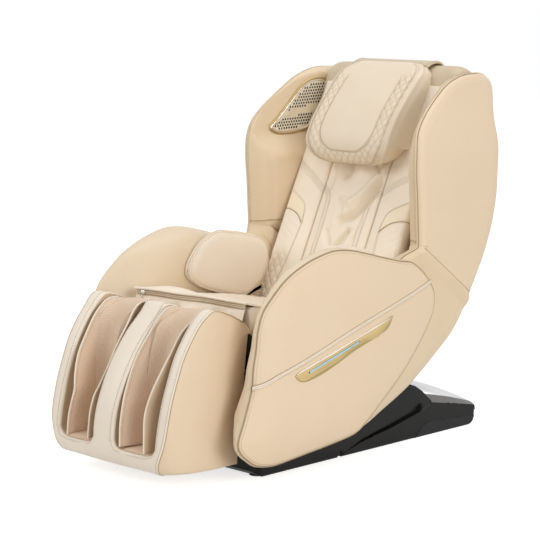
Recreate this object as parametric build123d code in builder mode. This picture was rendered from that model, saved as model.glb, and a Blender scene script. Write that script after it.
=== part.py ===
"""Massage chair: a shell that rocks in a cradle base, a swinging leg rest and a massage carriage.

Millimetres. +X is the sitter's left, -Y the front, +Z up. The origin is on the floor, under the
middle of the chair.
"""

import os
from math import acos, asin, cos, degrees, radians, sin, tan

from build123d import *

os.makedirs("parts", exist_ok=True)

# ---------------------------------------------------------------- driving dimensions
fit_gap = 0.5  # soft or covered piece to its neighbour
run_gap = 0.05  # radial clearance of a shaft that turns in its bore
roll_gap = 0.3  # curved faces on different bodies

# the cradle: the shell rocks about this line, parallel to X
cradle_y = -151
cradle_radius = 796  # underside of the shell
shell_clear = 69  # lowest point of the shell's underside above the floor
cradle_z = shell_clear + cradle_radius
deck_gap = 10  # underside of the shell to the deck of the base
recline_angle = 20  # degrees

# base
base_half = 264
base_front = -300
base_rear = 632
base_wall = 4
base_lift = 4  # cover's lower edge above the floor
deck_top = 168  # flat top behind the deck's arc
deck_rear = 354
skirt_thick = 3
skirt_rear_top = 24
frame_half = base_half - base_wall - fit_gap  # outer side of the base frame's long tubes
frame_tube = 30
tube_high = 20
foot_radius = 22
foot_height = 6

# cradle rollers and rails
roller_radius = 30
roller_axle = 8
roller_front_angle = -8  # degrees from straight below the cradle line, positive to the rear
roller_rear_angle = 20
rail_inner = 150  # sitter's side face of the cradle rail
rail_width = 20
rail_depth = 26

# transport wheels
wheel_radius = 26
wheel_width = 22
wheel_axle = 6
wheel_y = base_rear - 84
wheel_lift = 5
wheel_place = 150  # wheel's middle from the centre plane

# shell, across
seat_half = 230  # half of the seat, and of the leg rest
side_play = 2  # seat and leg rest to the frame's side plates
plate_inner = seat_half + side_play
plate_thick = 4
plate_outer = plate_inner + plate_thick
arm_split = 300  # arm core to outer panel
arm_outer = 364
arm_round = 8  # bevel round the panel's face
core_inset = 4  # the core's outline inside the panel's
trim_thick = 5
wing_step = 26  # frame's side plates to the wings
wing_inner = plate_outer + wing_step
wing_outer = 345
wing_round = 12
side_outer = 330
centre_half = 118
pad_inner = 206
shell_wall = 5

# seat
seat_front = -300
seat_rear = 205
seat_top = 455
seat_drop = 78  # fall of the top from the front to the rear
seat_thick = 80
pan_thick = 2
flap_thick = 5
flap_depth = 95
apron_thick = 5
apron_drop = 55
zip_width = 12
zip_thick = 3

# back
back_foot_y = 275
back_foot_z = 530
back_lean = 25.5  # degrees from upright
back_low = -150  # along the back from its foot
back_bend = 300  # above this the back falls away
pad_widens = 30  # above the arms the side pads reach the wings
back_high = 560
back_fall = 38
back_thick = 55
top_cover_high = 628
rail_low = -50
rail_high = 400
guide_inner = 180  # carriage guide rails
guide_width = 20
guide_front = 115
guide_depth = 40
guide_lip = 4
plate_back = guide_front + guide_depth + 10  # rear edge of the frame's side plates, behind the back
cross_tube = 30
tube_wall = 3

# pillow
pillow_half = 160
pillow_low = 285
pillow_high = 602
pillow_thick = 60

# massage carriage
carriage_place = 60
carriage_high = 130
shoe_high = 24  # the slides that run in the guide rails
cheek_place = 130
cheek_thick = 6
knead_radius = 9
knead_half = 140
gearbox_width = 80
gearbox_deep = 34
massage_roller = 26
massage_roller_width = 36
massage_roller_place = 62  # roller's middle from the centre plane
massage_spread = 62  # upper and lower rollers from the carriage's middle

# leg rest
leg_half = seat_half
leg_front = -635
hinge_y = -385
hinge_z = 425
hinge_radius = 25
hinge_bore = 20
hinge_stub = 10
motor_radius = 18
motor_length = 300
divider_half = 47
well_cheek = 35  # a well's outer wall
well_outer = leg_half - well_cheek
leg_wall = 8
calf_thick = 14
flap_width = 28
sole_top = 105
sole_thick = 12
sole_length = 120
foot_shaft = 5
foot_roller_radius = 15
foot_roller_width = 30
foot_roller_inner = 92  # rollers' middles from the centre plane
foot_roller_outer = 150
foot_roller_y = -520
foot_roller_z = 78
foot_room_length = 60
foot_room_high = 50
leg_room_low = 60  # room behind the leg rest's front, for its frame
leg_room_high = 180

# machinery under the seat, lengths along the pan
pump_back = 60  # pump's near side from the centre plane
pump_place = 150  # middle of the pump and the control box from the pan's front edge
pump_length = 150
pump_high = 90
pump_width = 140
box_length = 200
box_high = 60

# recline drive
drive_depth = 164  # the actuator's axis above the shell's underside
drive_radius = cradle_radius - drive_depth
drive_angle = -5  # the base's drive bracket, degrees
drive_pin = 7
drive_slot_play = 1.5
bracket_thick = 10
bracket_half = 18
actuator_radius = 22
rod_radius = 11
fork_plate = 8
rod_hold = 12  # length of rod that stays in the actuator

# power inlet and switch
inlet_x = -120
inlet_z = 40
inlet_wide = 48
inlet_high = 28
switch_x = -60
switch_wide = 15
switch_high = 21

# speakers
speaker_y = 400
speaker_z = 950
speaker_radius = 34
speaker_depth = 40
grille_thick = 4

# ---------------------------------------------------------------- outlines, (y, z)
arm_outline = [
    (-464, 138), (-455, 109), (-398, 66), (-302, 56), (-101, 77), (38, 119), (181, 230), (291, 354),
    (319, 445), (266, 516), (176, 553), (33, 589), (-105, 610), (-225, 581), (-334, 513),
    (-391, 424), (-408, 326), (-442, 194),
]
wing_front = [(271, 587), (249, 726), (231, 858), (288, 974), (383, 1051), (480, 1070)]
wing_rear = [(576, 1058), (622, 943), (632, 820), (606, 617), (508, 424)]
shell_rear = [(573, 540), (622, 697), (629, 820), (620, 930), (612, 985)]
arm_pad_outline = [
    (-108, 498), (-62, 564), (7, 600), (125, 583), (215, 536), (215, 480), (185, 423), (124, 397),
    (6, 420), (-82, 445),
]
trim_outline = [
    (-256, 289), (-215, 269), (-118, 292), (-39, 311), (84, 345), (125, 362), (137, 406), (-235, 301),
]
light_outline = [(-209, 287), (-3, 346), (-5, 352), (-211, 293)]
grille_outline = [
    (268, 893), (310, 870), (394, 872), (435, 878), (528, 989), (528, 1016), (494, 1032), (412, 1016),
    (305, 924),
]
leg_front_line = [(-593, 135), (-578, 248), (-541, 364), (-505, 420), (-459, 465), (-441, 473)]
well_back = [(-444, 480), (-470, 390), (-480, 300), (-472, 200), (-450, sole_top)]
flap_outline = [(-478, 440), (-540, 340), (-575, 220), (-590, 125), (-505, 122), (-484, 200), (-494, 300)]
base_rear_line = [(396, 128), (480, 112), (base_rear - 14, 70), (base_rear, 56)]
side_inner_line = [(230, 560), (150, 200)]
leg_low_line = [(-340, 42), (-526, 48), (-635, 59), (-618, 95)]
skirt_outline = [(343, base_lift), (417, 91), (base_rear - 118, 77), (base_rear, 55), (base_rear, base_lift)]

# ---------------------------------------------------------------- places worked out
deck_radius = cradle_radius + deck_gap
side = Plane.YZ  # local x is the row's y, local y is its z


def on_arc(radius, angle):
    """Point at this radius from the cradle line, this many degrees behind straight below it."""
    return (cradle_y + radius * sin(radians(angle)), cradle_z - radius * cos(radians(angle)))


def on_back(along, behind):
    """Point this far up the back from its foot and this far behind its front face."""
    lean = radians(back_lean)
    return (
        back_foot_y + along * sin(lean) + behind * cos(lean),
        back_foot_z + along * cos(lean) - behind * sin(lean),
    )


def seat_line(y, below=0):
    """Height of the seat's top, less some depth, at this y."""
    return seat_top - (y - seat_front) * seat_drop / (seat_rear - seat_front) - below


def grown(points, amount):
    """The same outline, moved outwards from its middle by about this much."""
    middle = sum((Vector(*point) for point in points), Vector()) / len(points)
    moved = []
    for point in points:
        away = Vector(*point) - middle
        away = away * (1 + amount / away.length)
        moved.append((middle.X + away.X, middle.Y + away.Y))
    return moved


def tilted(y, z, angle, x=0):
    """Plane whose local x runs to the rear, raised by this angle, and whose local z is the row's +X."""
    turn = radians(angle)
    return Plane(origin=(x, y, z), x_dir=(0, cos(turn), sin(turn)), z_dir=(1, 0, 0))


def save(piece, name):
    """Label one piece and write it to its own file."""
    piece.label = name
    export_step(piece, f"parts/{name}.step")


def save_pair(left, name):
    """Write a left piece and its mirror image on the right."""
    save(left, f"{name}_left")
    save(mirror(left, about=Plane.YZ), f"{name}_right")


# ---------------------------------------------------------------- base
deck_start = on_arc(deck_radius, degrees(asin((base_front - cradle_y) / deck_radius)))
deck_low = on_arc(deck_radius, 8)
deck_end = on_arc(deck_radius, degrees(acos((cradle_z - deck_top) / deck_radius)))

with BuildPart() as base_cover:
    with BuildSketch(side.offset(-base_half)) as cover_side:
        with BuildLine():
            Polyline((base_rear, base_lift), (base_front, base_lift), deck_start)
            ThreePointArc(deck_start, deck_low, deck_end)
            Polyline(deck_end, (deck_rear, deck_top), *base_rear_line, (base_rear, base_lift))
        make_face()
    extrude(amount=2 * base_half)
    with BuildSketch(side.offset(-base_half + base_wall)):
        add(cover_side.sketch_local)
        offset(amount=-base_wall)
    extrude(amount=2 * (base_half - base_wall), mode=Mode.SUBTRACT)
    with BuildSketch(Plane.XY.offset(base_lift)):
        with Locations((0, (base_front + base_rear) / 2)):
            Rectangle(2 * (base_half - base_wall), base_rear - base_front - 2 * base_wall)
    extrude(amount=base_wall + 1, mode=Mode.SUBTRACT)
    for roller_angle in (roller_front_angle, roller_rear_angle):
        for window_x in (-1, 1):
            window_y, window_z = on_arc(deck_radius, roller_angle)
            with Locations((window_x * (rail_inner + rail_width / 2), window_y, window_z)):
                Box(rail_width + 8, 2 * roller_radius + 8, 60, mode=Mode.SUBTRACT)
    with Locations((0, *on_arc(deck_radius, drive_angle))):
        Box(bracket_thick + 8, 2 * bracket_half + 10, 60, mode=Mode.SUBTRACT)
    with Locations((inlet_x, base_rear - base_wall, inlet_z)):
        Box(inlet_wide - 14, 4 * base_wall, inlet_high - 6, mode=Mode.SUBTRACT)
    with Locations((switch_x, base_rear - base_wall, inlet_z)):
        Box(switch_wide + 2 * fit_gap, 4 * base_wall, switch_high + 3, mode=Mode.SUBTRACT)
save(base_cover.part, "base_cover")

with BuildPart() as base_skirt:
    for skirt_side in (base_half, -base_half - skirt_thick):
        with BuildSketch(side.offset(skirt_side)):
            with BuildLine():
                Polyline(*skirt_outline, close=True)
            make_face()
        extrude(amount=skirt_thick)
    with Locations((0, base_rear + skirt_thick / 2, (base_lift + skirt_rear_top) / 2)):
        Box(2 * (base_half + skirt_thick), skirt_thick, skirt_rear_top - base_lift)
save(base_skirt.part, "base_skirt")

rail_middle = rail_inner + rail_width / 2
axle_reach = rail_inner + rail_width + 40
ear_inner = rail_inner + rail_width + 12
ear_thick = 8
ear_width = 36
ear_foot = frame_half - frame_tube / 2 - ear_inner  # the ear's foot ends in the long tube
tube_low = foot_height
tube_length = base_rear - base_front - 2 * base_wall - 16
tube_middle = (base_front + base_rear) / 2
front_roller_y = on_arc(cradle_radius + roller_radius, roller_front_angle)[0]
front_tube_y = front_roller_y + roller_radius + 5 + frame_tube / 2

with BuildPart() as base_frame:
    for tube_side in (-1, 1):
        with Locations((tube_side * (frame_half - frame_tube / 2), tube_middle, tube_low + tube_high / 2)):
            Box(frame_tube, tube_length, tube_high)
    for cross_y in (front_tube_y, 20, 300, base_rear - 36):
        with Locations((0, cross_y, tube_low + tube_high / 2)):
            Box(2 * frame_half, frame_tube, tube_high)
    for roller_angle in (roller_front_angle, roller_rear_angle):
        ear_y, ear_z = on_arc(cradle_radius + roll_gap + roller_radius, roller_angle)
        for ear_side in (-1, 1):
            ear_x = ear_side * (ear_inner + ear_thick / 2)
            with Locations((ear_side * (ear_inner + ear_foot / 2), ear_y, tube_low + ear_thick / 2)):
                Box(ear_foot, ear_width, ear_thick)
            with Locations((ear_x, ear_y, (tube_low + ear_z) / 2)):
                Box(ear_thick, ear_width, ear_z - tube_low)
            with Locations((ear_x, ear_y, ear_z)):
                Cylinder(15, ear_thick, rotation=(0, 90, 0))
            with Locations((ear_x, ear_y, ear_z)):
                Cylinder(roller_axle + run_gap, ear_thick, rotation=(0, 90, 0), mode=Mode.SUBTRACT)
    for ear_side in (-1, 1):
        wheel_ear = ear_side * (wheel_place + wheel_width / 2 + 8)
        with Locations((wheel_ear, (wheel_y + base_rear - 36) / 2, tube_low + 14)):
            Box(6, base_rear - 36 - wheel_y + 24, 28)
        with Locations((wheel_ear, wheel_y, wheel_lift + wheel_radius)):
            Cylinder(wheel_axle + run_gap, 6, rotation=(0, 90, 0), mode=Mode.SUBTRACT)
save(base_frame.part, "base_frame")

with BuildPart() as base_feet:
    foot_x = frame_half - foot_radius - 3
    foot_places = [(x, y, 0) for x in (-foot_x, foot_x) for y in (base_front + 30, base_rear - 130)]
    with Locations(*foot_places):
        Cylinder(foot_radius, foot_height, align=(Align.CENTER, Align.CENTER, Align.MIN))
save(base_feet.part, "base_feet")

with BuildPart() as transport_wheels:
    with Locations((0, wheel_y, wheel_lift + wheel_radius)):
        Cylinder(wheel_axle, 2 * (wheel_place + wheel_width / 2 + 14), rotation=(0, 90, 0))
    for wheel_side in (-1, 1):
        with Locations((wheel_side * wheel_place, wheel_y, wheel_lift + wheel_radius)):
            Cylinder(wheel_radius, wheel_width, rotation=(0, 90, 0))
    wheel_rims = transport_wheels.edges().filter_by(GeomType.CIRCLE)
    fillet(wheel_rims.filter_by(lambda rim: rim.radius > wheel_axle + 1), 3)
save(transport_wheels.part, "transport_wheels")

for roller_name, roller_angle in (("front", roller_front_angle), ("rear", roller_rear_angle)):
    with BuildPart() as cradle_roller:
        axle_y, axle_z = on_arc(cradle_radius + roll_gap + roller_radius, roller_angle)
        with Locations((0, axle_y, axle_z)):
            Cylinder(roller_axle, 2 * axle_reach, rotation=(0, 90, 0))
        for roller_side in (-1, 1):
            with Locations((roller_side * rail_middle, axle_y, axle_z)):
                Cylinder(roller_radius, rail_width - 2, rotation=(0, 90, 0))
    save(cradle_roller.part, f"cradle_roller_{roller_name}")

# The bracket stands on the base, through the shell's slot. Its own slot runs towards the cradle
# line, and the actuator's pin slides in it.
half_travel = recline_angle / 2
pin_end = drive_radius * tan(radians(half_travel))  # the pin's travel either way, along the actuator
pin_start = -pin_end
fork_back = bracket_half + 4
actuator_start = pin_end + fork_back + fork_plate + 3
rod_length = actuator_start + pin_end + rod_hold
actuator_end = pin_end + rod_length + 4
pin_radius = drive_radius / cos(radians(half_travel))  # the pin's radius at both ends of travel
slot_low = drive_radius - drive_pin - 8
slot_high = pin_radius + drive_pin + 8

with BuildPart() as drive_bracket:
    bracket_plane = tilted(cradle_y, cradle_z, drive_angle, -bracket_thick / 2)
    with BuildSketch(bracket_plane):
        bracket_high = slot_low - 14
        bracket_low = deck_radius + 22
        with Locations((0, -(bracket_high + bracket_low) / 2)):
            RectangleRounded(2 * bracket_half, bracket_low - bracket_high, 10)
        with Locations((0, -(slot_low + slot_high) / 2)):
            Rectangle(2 * (drive_pin + drive_slot_play), slot_high - slot_low, mode=Mode.SUBTRACT)
    extrude(amount=bracket_thick)
    foot_y, foot_z = on_arc(deck_radius + 22, drive_angle)
    with Locations((0, foot_y, (foot_z + 8 + tube_low + tube_high) / 2)):
        Box(bracket_thick, 2 * bracket_half, foot_z + 8 - tube_low - tube_high)
    with Locations((0, foot_y, tube_low + tube_high + 3)):
        Box(60, 2 * bracket_half, 6)
save(drive_bracket.part, "drive_bracket")

with BuildPart() as power_inlet:
    with Locations((inlet_x, base_rear + 1.5, inlet_z)):
        Box(inlet_wide, 3, inlet_high)
    with Locations((inlet_x, base_rear - 10, inlet_z)):
        Box(inlet_wide - 16, 20, inlet_high - 8)
    with Locations((inlet_x, base_rear - 4, inlet_z)):
        Box(inlet_wide - 22, 24, inlet_high - 14, mode=Mode.SUBTRACT)
    with Locations((inlet_x - 7, base_rear - 11, inlet_z), (inlet_x + 7, base_rear - 11, inlet_z)):
        Box(2, 18, 4)
    with Locations((inlet_x, base_rear - 11, inlet_z + 3)):
        Box(4, 18, 2)
save(power_inlet.part, "power_inlet")

with BuildPart() as power_switch:
    with Locations((switch_x, base_rear - 3, inlet_z)):
        Box(switch_wide, 10, switch_high - 2)
    fillet(power_switch.edges().filter_by(Axis.X), 1.5)
save(power_switch.part, "power_switch")

# ---------------------------------------------------------------- shell: frame and covers
drive_middle = drive_angle + half_travel
drive_plane_origin = on_arc(drive_radius, drive_middle)
plate_radius = cradle_radius - rail_depth + 5
rail_tube_radius = cradle_radius - rail_depth - fit_gap - cross_tube / 2
tube_places = [(*on_arc(rail_tube_radius, angle), angle) for angle in (-9.5, 29, 44)]
actuator_stop = tilted(*drive_plane_origin, drive_middle).from_local_coords(
    Vector(actuator_end + cross_tube / 2, 0, 0)
)
tube_places.append((actuator_stop.Y, actuator_stop.Z, drive_middle))
pan_tilt = -Vector(seat_rear - seat_front, seat_drop).get_angle(Vector(1, 0))
pan_low = seat_line(seat_front, seat_thick) - pan_thick / cos(radians(pan_tilt))

with BuildPart() as body_frame:
    for plate_side in (plate_inner, -plate_outer):
        with BuildSketch(side.offset(plate_side)):
            with BuildLine():
                plate_front = on_arc(plate_radius, -11)
                plate_rear = on_arc(plate_radius, 45)
                ThreePointArc(plate_front, on_arc(plate_radius, 17), plate_rear)
                Polyline(
                    plate_rear,
                    on_back(rail_low - 10, plate_back),
                    on_back(rail_high + cross_tube, plate_back),
                    on_back(rail_high + cross_tube, back_thick + 2 * fit_gap),
                    on_back(back_low - 6, back_thick + 2 * fit_gap),
                    (seat_rear, seat_line(seat_rear, seat_thick - 10)),
                    (seat_front + 10, seat_line(seat_front, seat_thick - 10)),
                    (hinge_y + 20, hinge_z + hinge_radius),
                    (hinge_y - 22, hinge_z + hinge_radius - 3),
                    (hinge_y - 22, hinge_z - 20),
                    (seat_front - 24, hinge_z - 45),
                    (seat_front - 8, hinge_z - 60),
                    plate_front,
                )
            make_face()
        extrude(amount=plate_thick)
    for tube_y, tube_z, tube_angle in tube_places:
        with BuildSketch(tilted(tube_y, tube_z, tube_angle, -plate_inner)):
            Rectangle(cross_tube, cross_tube)
        extrude(amount=2 * plate_inner)
        with BuildSketch(tilted(tube_y, tube_z, tube_angle, -plate_outer)):
            Rectangle(cross_tube - 2 * tube_wall, cross_tube - 2 * tube_wall)
        extrude(amount=2 * plate_outer, mode=Mode.SUBTRACT)
    for cross_along in (rail_low - cross_tube / 2, rail_high + cross_tube / 2):
        cross_middle = on_back(cross_along, guide_front + guide_depth / 2)
        with BuildSketch(tilted(*cross_middle, 90 - back_lean, -plate_inner)):
            Rectangle(cross_tube, cross_tube)
        extrude(amount=2 * plate_inner)
        with BuildSketch(tilted(*cross_middle, 90 - back_lean, -plate_outer)):
            Rectangle(cross_tube - 2 * tube_wall, cross_tube - 2 * tube_wall)
        extrude(amount=2 * plate_outer, mode=Mode.SUBTRACT)
    pan_plane = tilted(seat_front, pan_low, pan_tilt, -plate_inner)
    pan_length = (seat_rear - seat_front) / cos(radians(pan_tilt))
    with BuildSketch(pan_plane):
        Rectangle(pan_length, pan_thick, align=(Align.MIN, Align.MIN))
    extrude(amount=2 * plate_inner)
    with Locations((0, hinge_y, hinge_z)):
        Cylinder(hinge_stub + run_gap, 2 * plate_outer, rotation=(0, 90, 0), mode=Mode.SUBTRACT)
save(body_frame.part, "body_frame")

shell_half = wing_inner - fit_gap
shell_middle = cradle_radius - shell_wall / 2
with BuildPart() as back_shell:
    with BuildSketch(side.offset(-shell_half)):
        with BuildLine():
            shell_front = on_arc(shell_middle, -10)
            shell_back = on_arc(shell_middle, 52)
            ThreePointArc(shell_front, on_arc(shell_middle, 20), shell_back)
            Spline(shell_back, *shell_rear)
        trace(line_width=shell_wall)
    extrude(amount=2 * shell_half)
    front_half = plate_inner - fit_gap
    with BuildSketch(side.offset(-front_half)):
        with BuildLine():
            front_high = (seat_front - 18, seat_line(seat_front, seat_thick + 14))
            Polyline(front_high, (seat_front - 18, 125), shell_front)
        trace(line_width=shell_wall)
    extrude(amount=2 * front_half)
    for slot_side in (-1, 1):
        with BuildSketch(side.offset(slot_side * rail_middle - rail_width / 2 - 1)):
            with BuildLine():
                RadiusArc(on_arc(shell_middle, -9.2), on_arc(shell_middle, 47), -shell_middle)
            trace(line_width=shell_wall + 2)
        extrude(amount=rail_width + 2, mode=Mode.SUBTRACT)
    with BuildSketch(side.offset(-bracket_thick / 2 - 4)):
        with BuildLine():
            RadiusArc(on_arc(shell_middle, -7.5), on_arc(shell_middle, 21.5), -shell_middle)
        trace(line_width=shell_wall + 2)
    extrude(amount=bracket_thick + 8, mode=Mode.SUBTRACT)
save(back_shell.part, "back_shell")

with BuildPart() as arc_rails:
    rail_middle_radius = cradle_radius - rail_depth / 2
    with BuildSketch(side.offset(rail_inner)):
        with BuildLine():
            RadiusArc(on_arc(rail_middle_radius, -9), on_arc(rail_middle_radius, 46.8), -rail_middle_radius)
        trace(line_width=rail_depth)
    extrude(amount=rail_width)
    mirror(about=Plane.YZ)
save(arc_rails.part, "arc_rails")

# ---------------------------------------------------------------- shell: arms, sides and wings
arm_inner = plate_outer + fit_gap

with BuildPart() as arm_panel:
    with BuildSketch(side.offset(arm_split + fit_gap)):
        with BuildLine():
            Spline(*arm_outline, periodic=True)
        make_face()
    extrude(amount=arm_outer - arm_split - fit_gap)
    chamfer(arm_panel.faces().sort_by(Axis.X)[-1].edges(), arm_round)
save_pair(arm_panel.part, "arm_panel")

with BuildPart() as arm_core:
    with BuildSketch(side.offset(arm_inner)):
        with BuildLine():
            Spline(*grown(arm_outline, -core_inset), periodic=True)
        make_face()
        with Locations((cradle_y, cradle_z)):
            Circle(cradle_radius - shell_wall - fit_gap, mode=Mode.INTERSECT)
    extrude(amount=arm_split - arm_inner)
save_pair(arm_core.part, "arm_core")

with BuildPart() as lower_side:
    with BuildSketch(side.offset(wing_inner)):
        side_low = on_arc(cradle_radius, 15)
        side_high = on_arc(cradle_radius, 54)
        with BuildLine():
            ThreePointArc(side_low, on_arc(cradle_radius, 35), side_high)
            Polyline(side_high, wing_rear[-1], wing_front[0], *side_inner_line, side_low)
        make_face()
        with BuildLine():
            Spline(*grown(arm_outline, fit_gap), periodic=True)
        make_face(mode=Mode.SUBTRACT)
    extrude(amount=side_outer - wing_inner)
save_pair(lower_side.part, "lower_side")

with BuildPart() as wing:
    with BuildSketch(side.offset(wing_inner)):
        seam_rise = fit_gap
        with BuildLine():
            wing_line = [(wing_front[0][0], wing_front[0][1] + seam_rise)] + wing_front[1:] + wing_rear[:-1]
            Spline(*wing_line, (wing_rear[-1][0], wing_rear[-1][1] + seam_rise))
            Line((wing_rear[-1][0], wing_rear[-1][1] + seam_rise), wing_line[0])
        make_face()
    extrude(amount=wing_outer - wing_inner)
    chamfer(wing.faces().sort_by(Axis.X)[-1].edges(), wing_round)
    with Locations((wing_inner + speaker_depth / 2, speaker_y, speaker_z)):
        Cylinder(speaker_radius + 1, speaker_depth, rotation=(0, 90, 0), mode=Mode.SUBTRACT)
save_pair(wing.part, "wing")

with BuildPart() as speaker_driver:
    with Locations((wing_inner + speaker_depth / 2, speaker_y, speaker_z)):
        Cylinder(speaker_radius, 8, rotation=(0, 90, 0))
        Cylinder(speaker_radius * 0.6, speaker_depth, rotation=(0, 90, 0))
    with Locations((wing_inner + 4, speaker_y, speaker_z)):
        Cylinder(speaker_radius, 8, rotation=(0, 90, 0))
save_pair(speaker_driver.part, "speaker_driver")

with BuildPart() as speaker_grille:
    with BuildSketch(side.offset(wing_inner - fit_gap - grille_thick)):
        with BuildLine():
            Polyline(*grille_outline, close=True)
        make_face()
    extrude(amount=grille_thick)
save_pair(speaker_grille.part, "speaker_grille")

with BuildPart() as arm_pad:
    with BuildSketch(side.offset(pad_inner)):
        with BuildLine():
            Spline(*arm_pad_outline, periodic=True)
        make_face()
    extrude(amount=arm_inner - pad_inner)
save_pair(arm_pad.part, "arm_pad")

with BuildPart() as trim:
    with BuildSketch(side.offset(arm_outer)):
        with BuildLine():
            Polyline(*trim_outline, close=True)
        make_face()
    extrude(amount=trim_thick)
    with BuildSketch(side.offset(arm_outer + trim_thick - 2)):
        with BuildLine():
            Polyline(*light_outline, close=True)
        make_face()
    extrude(amount=2, mode=Mode.SUBTRACT)
save_pair(trim.part, "trim")

# ---------------------------------------------------------------- shell: seat
with BuildPart() as seat_cushion:
    with BuildSketch(side.offset(-seat_half)):
        with BuildLine():
            Polyline(
                (seat_front, seat_line(seat_front)),
                (seat_rear, seat_line(seat_rear)),
                (seat_rear, seat_line(seat_rear, seat_thick)),
                (seat_front, seat_line(seat_front, seat_thick)),
                close=True,
            )
        make_face()
        flap_rear = seat_front + flap_depth
        with BuildLine():
            Polyline(
                (seat_front - flap_thick, seat_line(seat_front, -flap_thick)),
                (flap_rear, seat_line(flap_rear, -flap_thick)),
                (flap_rear, seat_line(flap_rear, 1)),
                (seat_front - flap_thick, seat_line(seat_front, 1)),
                close=True,
            )
        make_face()
    extrude(amount=2 * seat_half)
save(seat_cushion.part, "seat_cushion")

apron_top = seat_line(seat_front, 24)
apron_half = seat_half - 8
with BuildPart() as apron:
    with Locations((0, seat_front - fit_gap - apron_thick / 2, apron_top - apron_drop / 2)):
        Box(2 * apron_half, apron_thick, apron_drop)
save(apron.part, "apron")

zip_top = seat_line(seat_front, 8)
with BuildPart() as zipper_tape:
    with Locations((0, seat_front - fit_gap - zip_thick / 2, zip_top - zip_width / 2)):
        Box(2 * apron_half, zip_thick, zip_width)
save(zipper_tape.part, "zipper_tape")

slider_x = -apron_half + 14
with BuildPart() as zip_slider:
    slider_face = seat_front - fit_gap - zip_thick - roll_gap
    with Locations((slider_x, slider_face - 1.5, zip_top - zip_width / 2)):
        Box(12, 3, 8)
    with Locations((slider_x, slider_face - 3.5, zip_top - zip_width / 2 - 8)):
        Box(6, 2, 22)
save(zip_slider.part, "zip_slider")

# ---------------------------------------------------------------- shell: back
def back_pad(inner, outer, name):
    """One pad of the back, between two planes across the chair."""
    with BuildPart() as pad:
        with BuildSketch(side.offset(inner)):
            with BuildLine():
                Polyline(
                    on_back(back_low, 0), on_back(back_bend, 0), on_back(back_high, back_fall),
                    on_back(back_high, back_fall + back_thick), on_back(rail_high + cross_tube, back_thick),
                    on_back(back_low, back_thick), close=True,
                )
            make_face()
        extrude(amount=outer - inner)
        if inner > 0:
            with BuildSketch(side.offset(inner)):
                with BuildLine():
                    Polyline(
                        on_back(pad_widens, 0), on_back(back_bend, 0), on_back(back_high, back_fall),
                        on_back(back_high, back_fall + back_thick),
                        on_back(rail_high + cross_tube, back_thick),
                        on_back(pad_widens, back_thick), close=True,
                    )
                make_face()
            extrude(amount=wing_inner - fit_gap - inner)
    if inner < 0:
        save(pad.part, name)
    else:
        save_pair(pad.part, name)


back_pad(-centre_half + fit_gap, centre_half - fit_gap, "back_centre_pad")
back_pad(centre_half, plate_outer, "back_side_pad")

with BuildPart() as top_cover:
    with BuildSketch(side.offset(-shell_half)):
        cover_low = back_high + fit_gap
        with BuildLine():
            Polyline(
                on_back(cover_low, back_fall), on_back(top_cover_high - 28, back_fall - 8),
                on_back(top_cover_high, back_fall + 17), on_back(top_cover_high - 28, back_fall + 50),
                on_back(cover_low, back_fall + back_thick), close=True,
            )
        make_face()
    extrude(amount=2 * shell_half)
save(top_cover.part, "top_cover")

with BuildPart() as pillow:
    with BuildSketch(side.offset(-pillow_half)):
        with BuildLine():
            Polyline(
                on_back(pillow_low, -fit_gap), on_back(pillow_low + 12, -pillow_thick),
                on_back(pillow_high - 10, -pillow_thick), on_back(pillow_high, -fit_gap), close=True,
            )
        make_face()
    extrude(amount=2 * pillow_half)
save(pillow.part, "pillow")

# Each guide rail is a channel, open towards the carriage.
with BuildPart() as massage_rail:
    rail_centre = on_back((rail_low + rail_high) / 2, guide_front + guide_depth / 2)
    with BuildSketch(tilted(*rail_centre, 90 - back_lean, guide_inner)):
        Rectangle(rail_high - rail_low, guide_depth)
    extrude(amount=guide_width)
    with BuildSketch(tilted(*rail_centre, 90 - back_lean, guide_inner)):
        Rectangle(rail_high - rail_low, guide_depth - 2 * guide_lip)
    extrude(amount=guide_width - guide_lip, mode=Mode.SUBTRACT)
save_pair(massage_rail.part, "massage_rail")

# ---------------------------------------------------------------- shell: machinery
pan_under = tilted(seat_front, pan_low, pan_tilt)

with BuildPart() as air_pump:
    with BuildSketch(pan_under.offset(pump_back)):
        with Locations((pump_place, -pump_high / 2)):
            RectangleRounded(pump_length, pump_high, 12)
    extrude(amount=pump_width)
save(air_pump.part, "air_pump")

with BuildPart() as control_box:
    with BuildSketch(pan_under.offset(-pump_back - pump_width)):
        with Locations((pump_place, -box_high / 2)):
            RectangleRounded(box_length, box_high, 4)
    extrude(amount=pump_width)
save(control_box.part, "control_box")

drive_axis = tilted(*drive_plane_origin, drive_middle)
actuator_face = Plane(
    origin=drive_axis.from_local_coords(Vector(actuator_start, 0, 0)),
    x_dir=(1, 0, 0), z_dir=drive_axis.x_dir,
)
rod_face = Plane(
    origin=drive_axis.from_local_coords(Vector(pin_start, 0, 0)),
    x_dir=(1, 0, 0), z_dir=drive_axis.x_dir,
)

with BuildPart() as recline_actuator:
    with BuildSketch(actuator_face):
        Circle(actuator_radius)
    extrude(amount=actuator_end - actuator_start)
    with BuildSketch(actuator_face.offset(20)):
        with Locations((actuator_radius + 12, 0)):
            RectangleRounded(44, 2 * actuator_radius, 6)
    extrude(amount=90)
    with BuildSketch(actuator_face):
        Circle(rod_radius + run_gap)
    extrude(amount=actuator_end - actuator_start - 2, mode=Mode.SUBTRACT)
save(recline_actuator.part, "recline_actuator")

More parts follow.
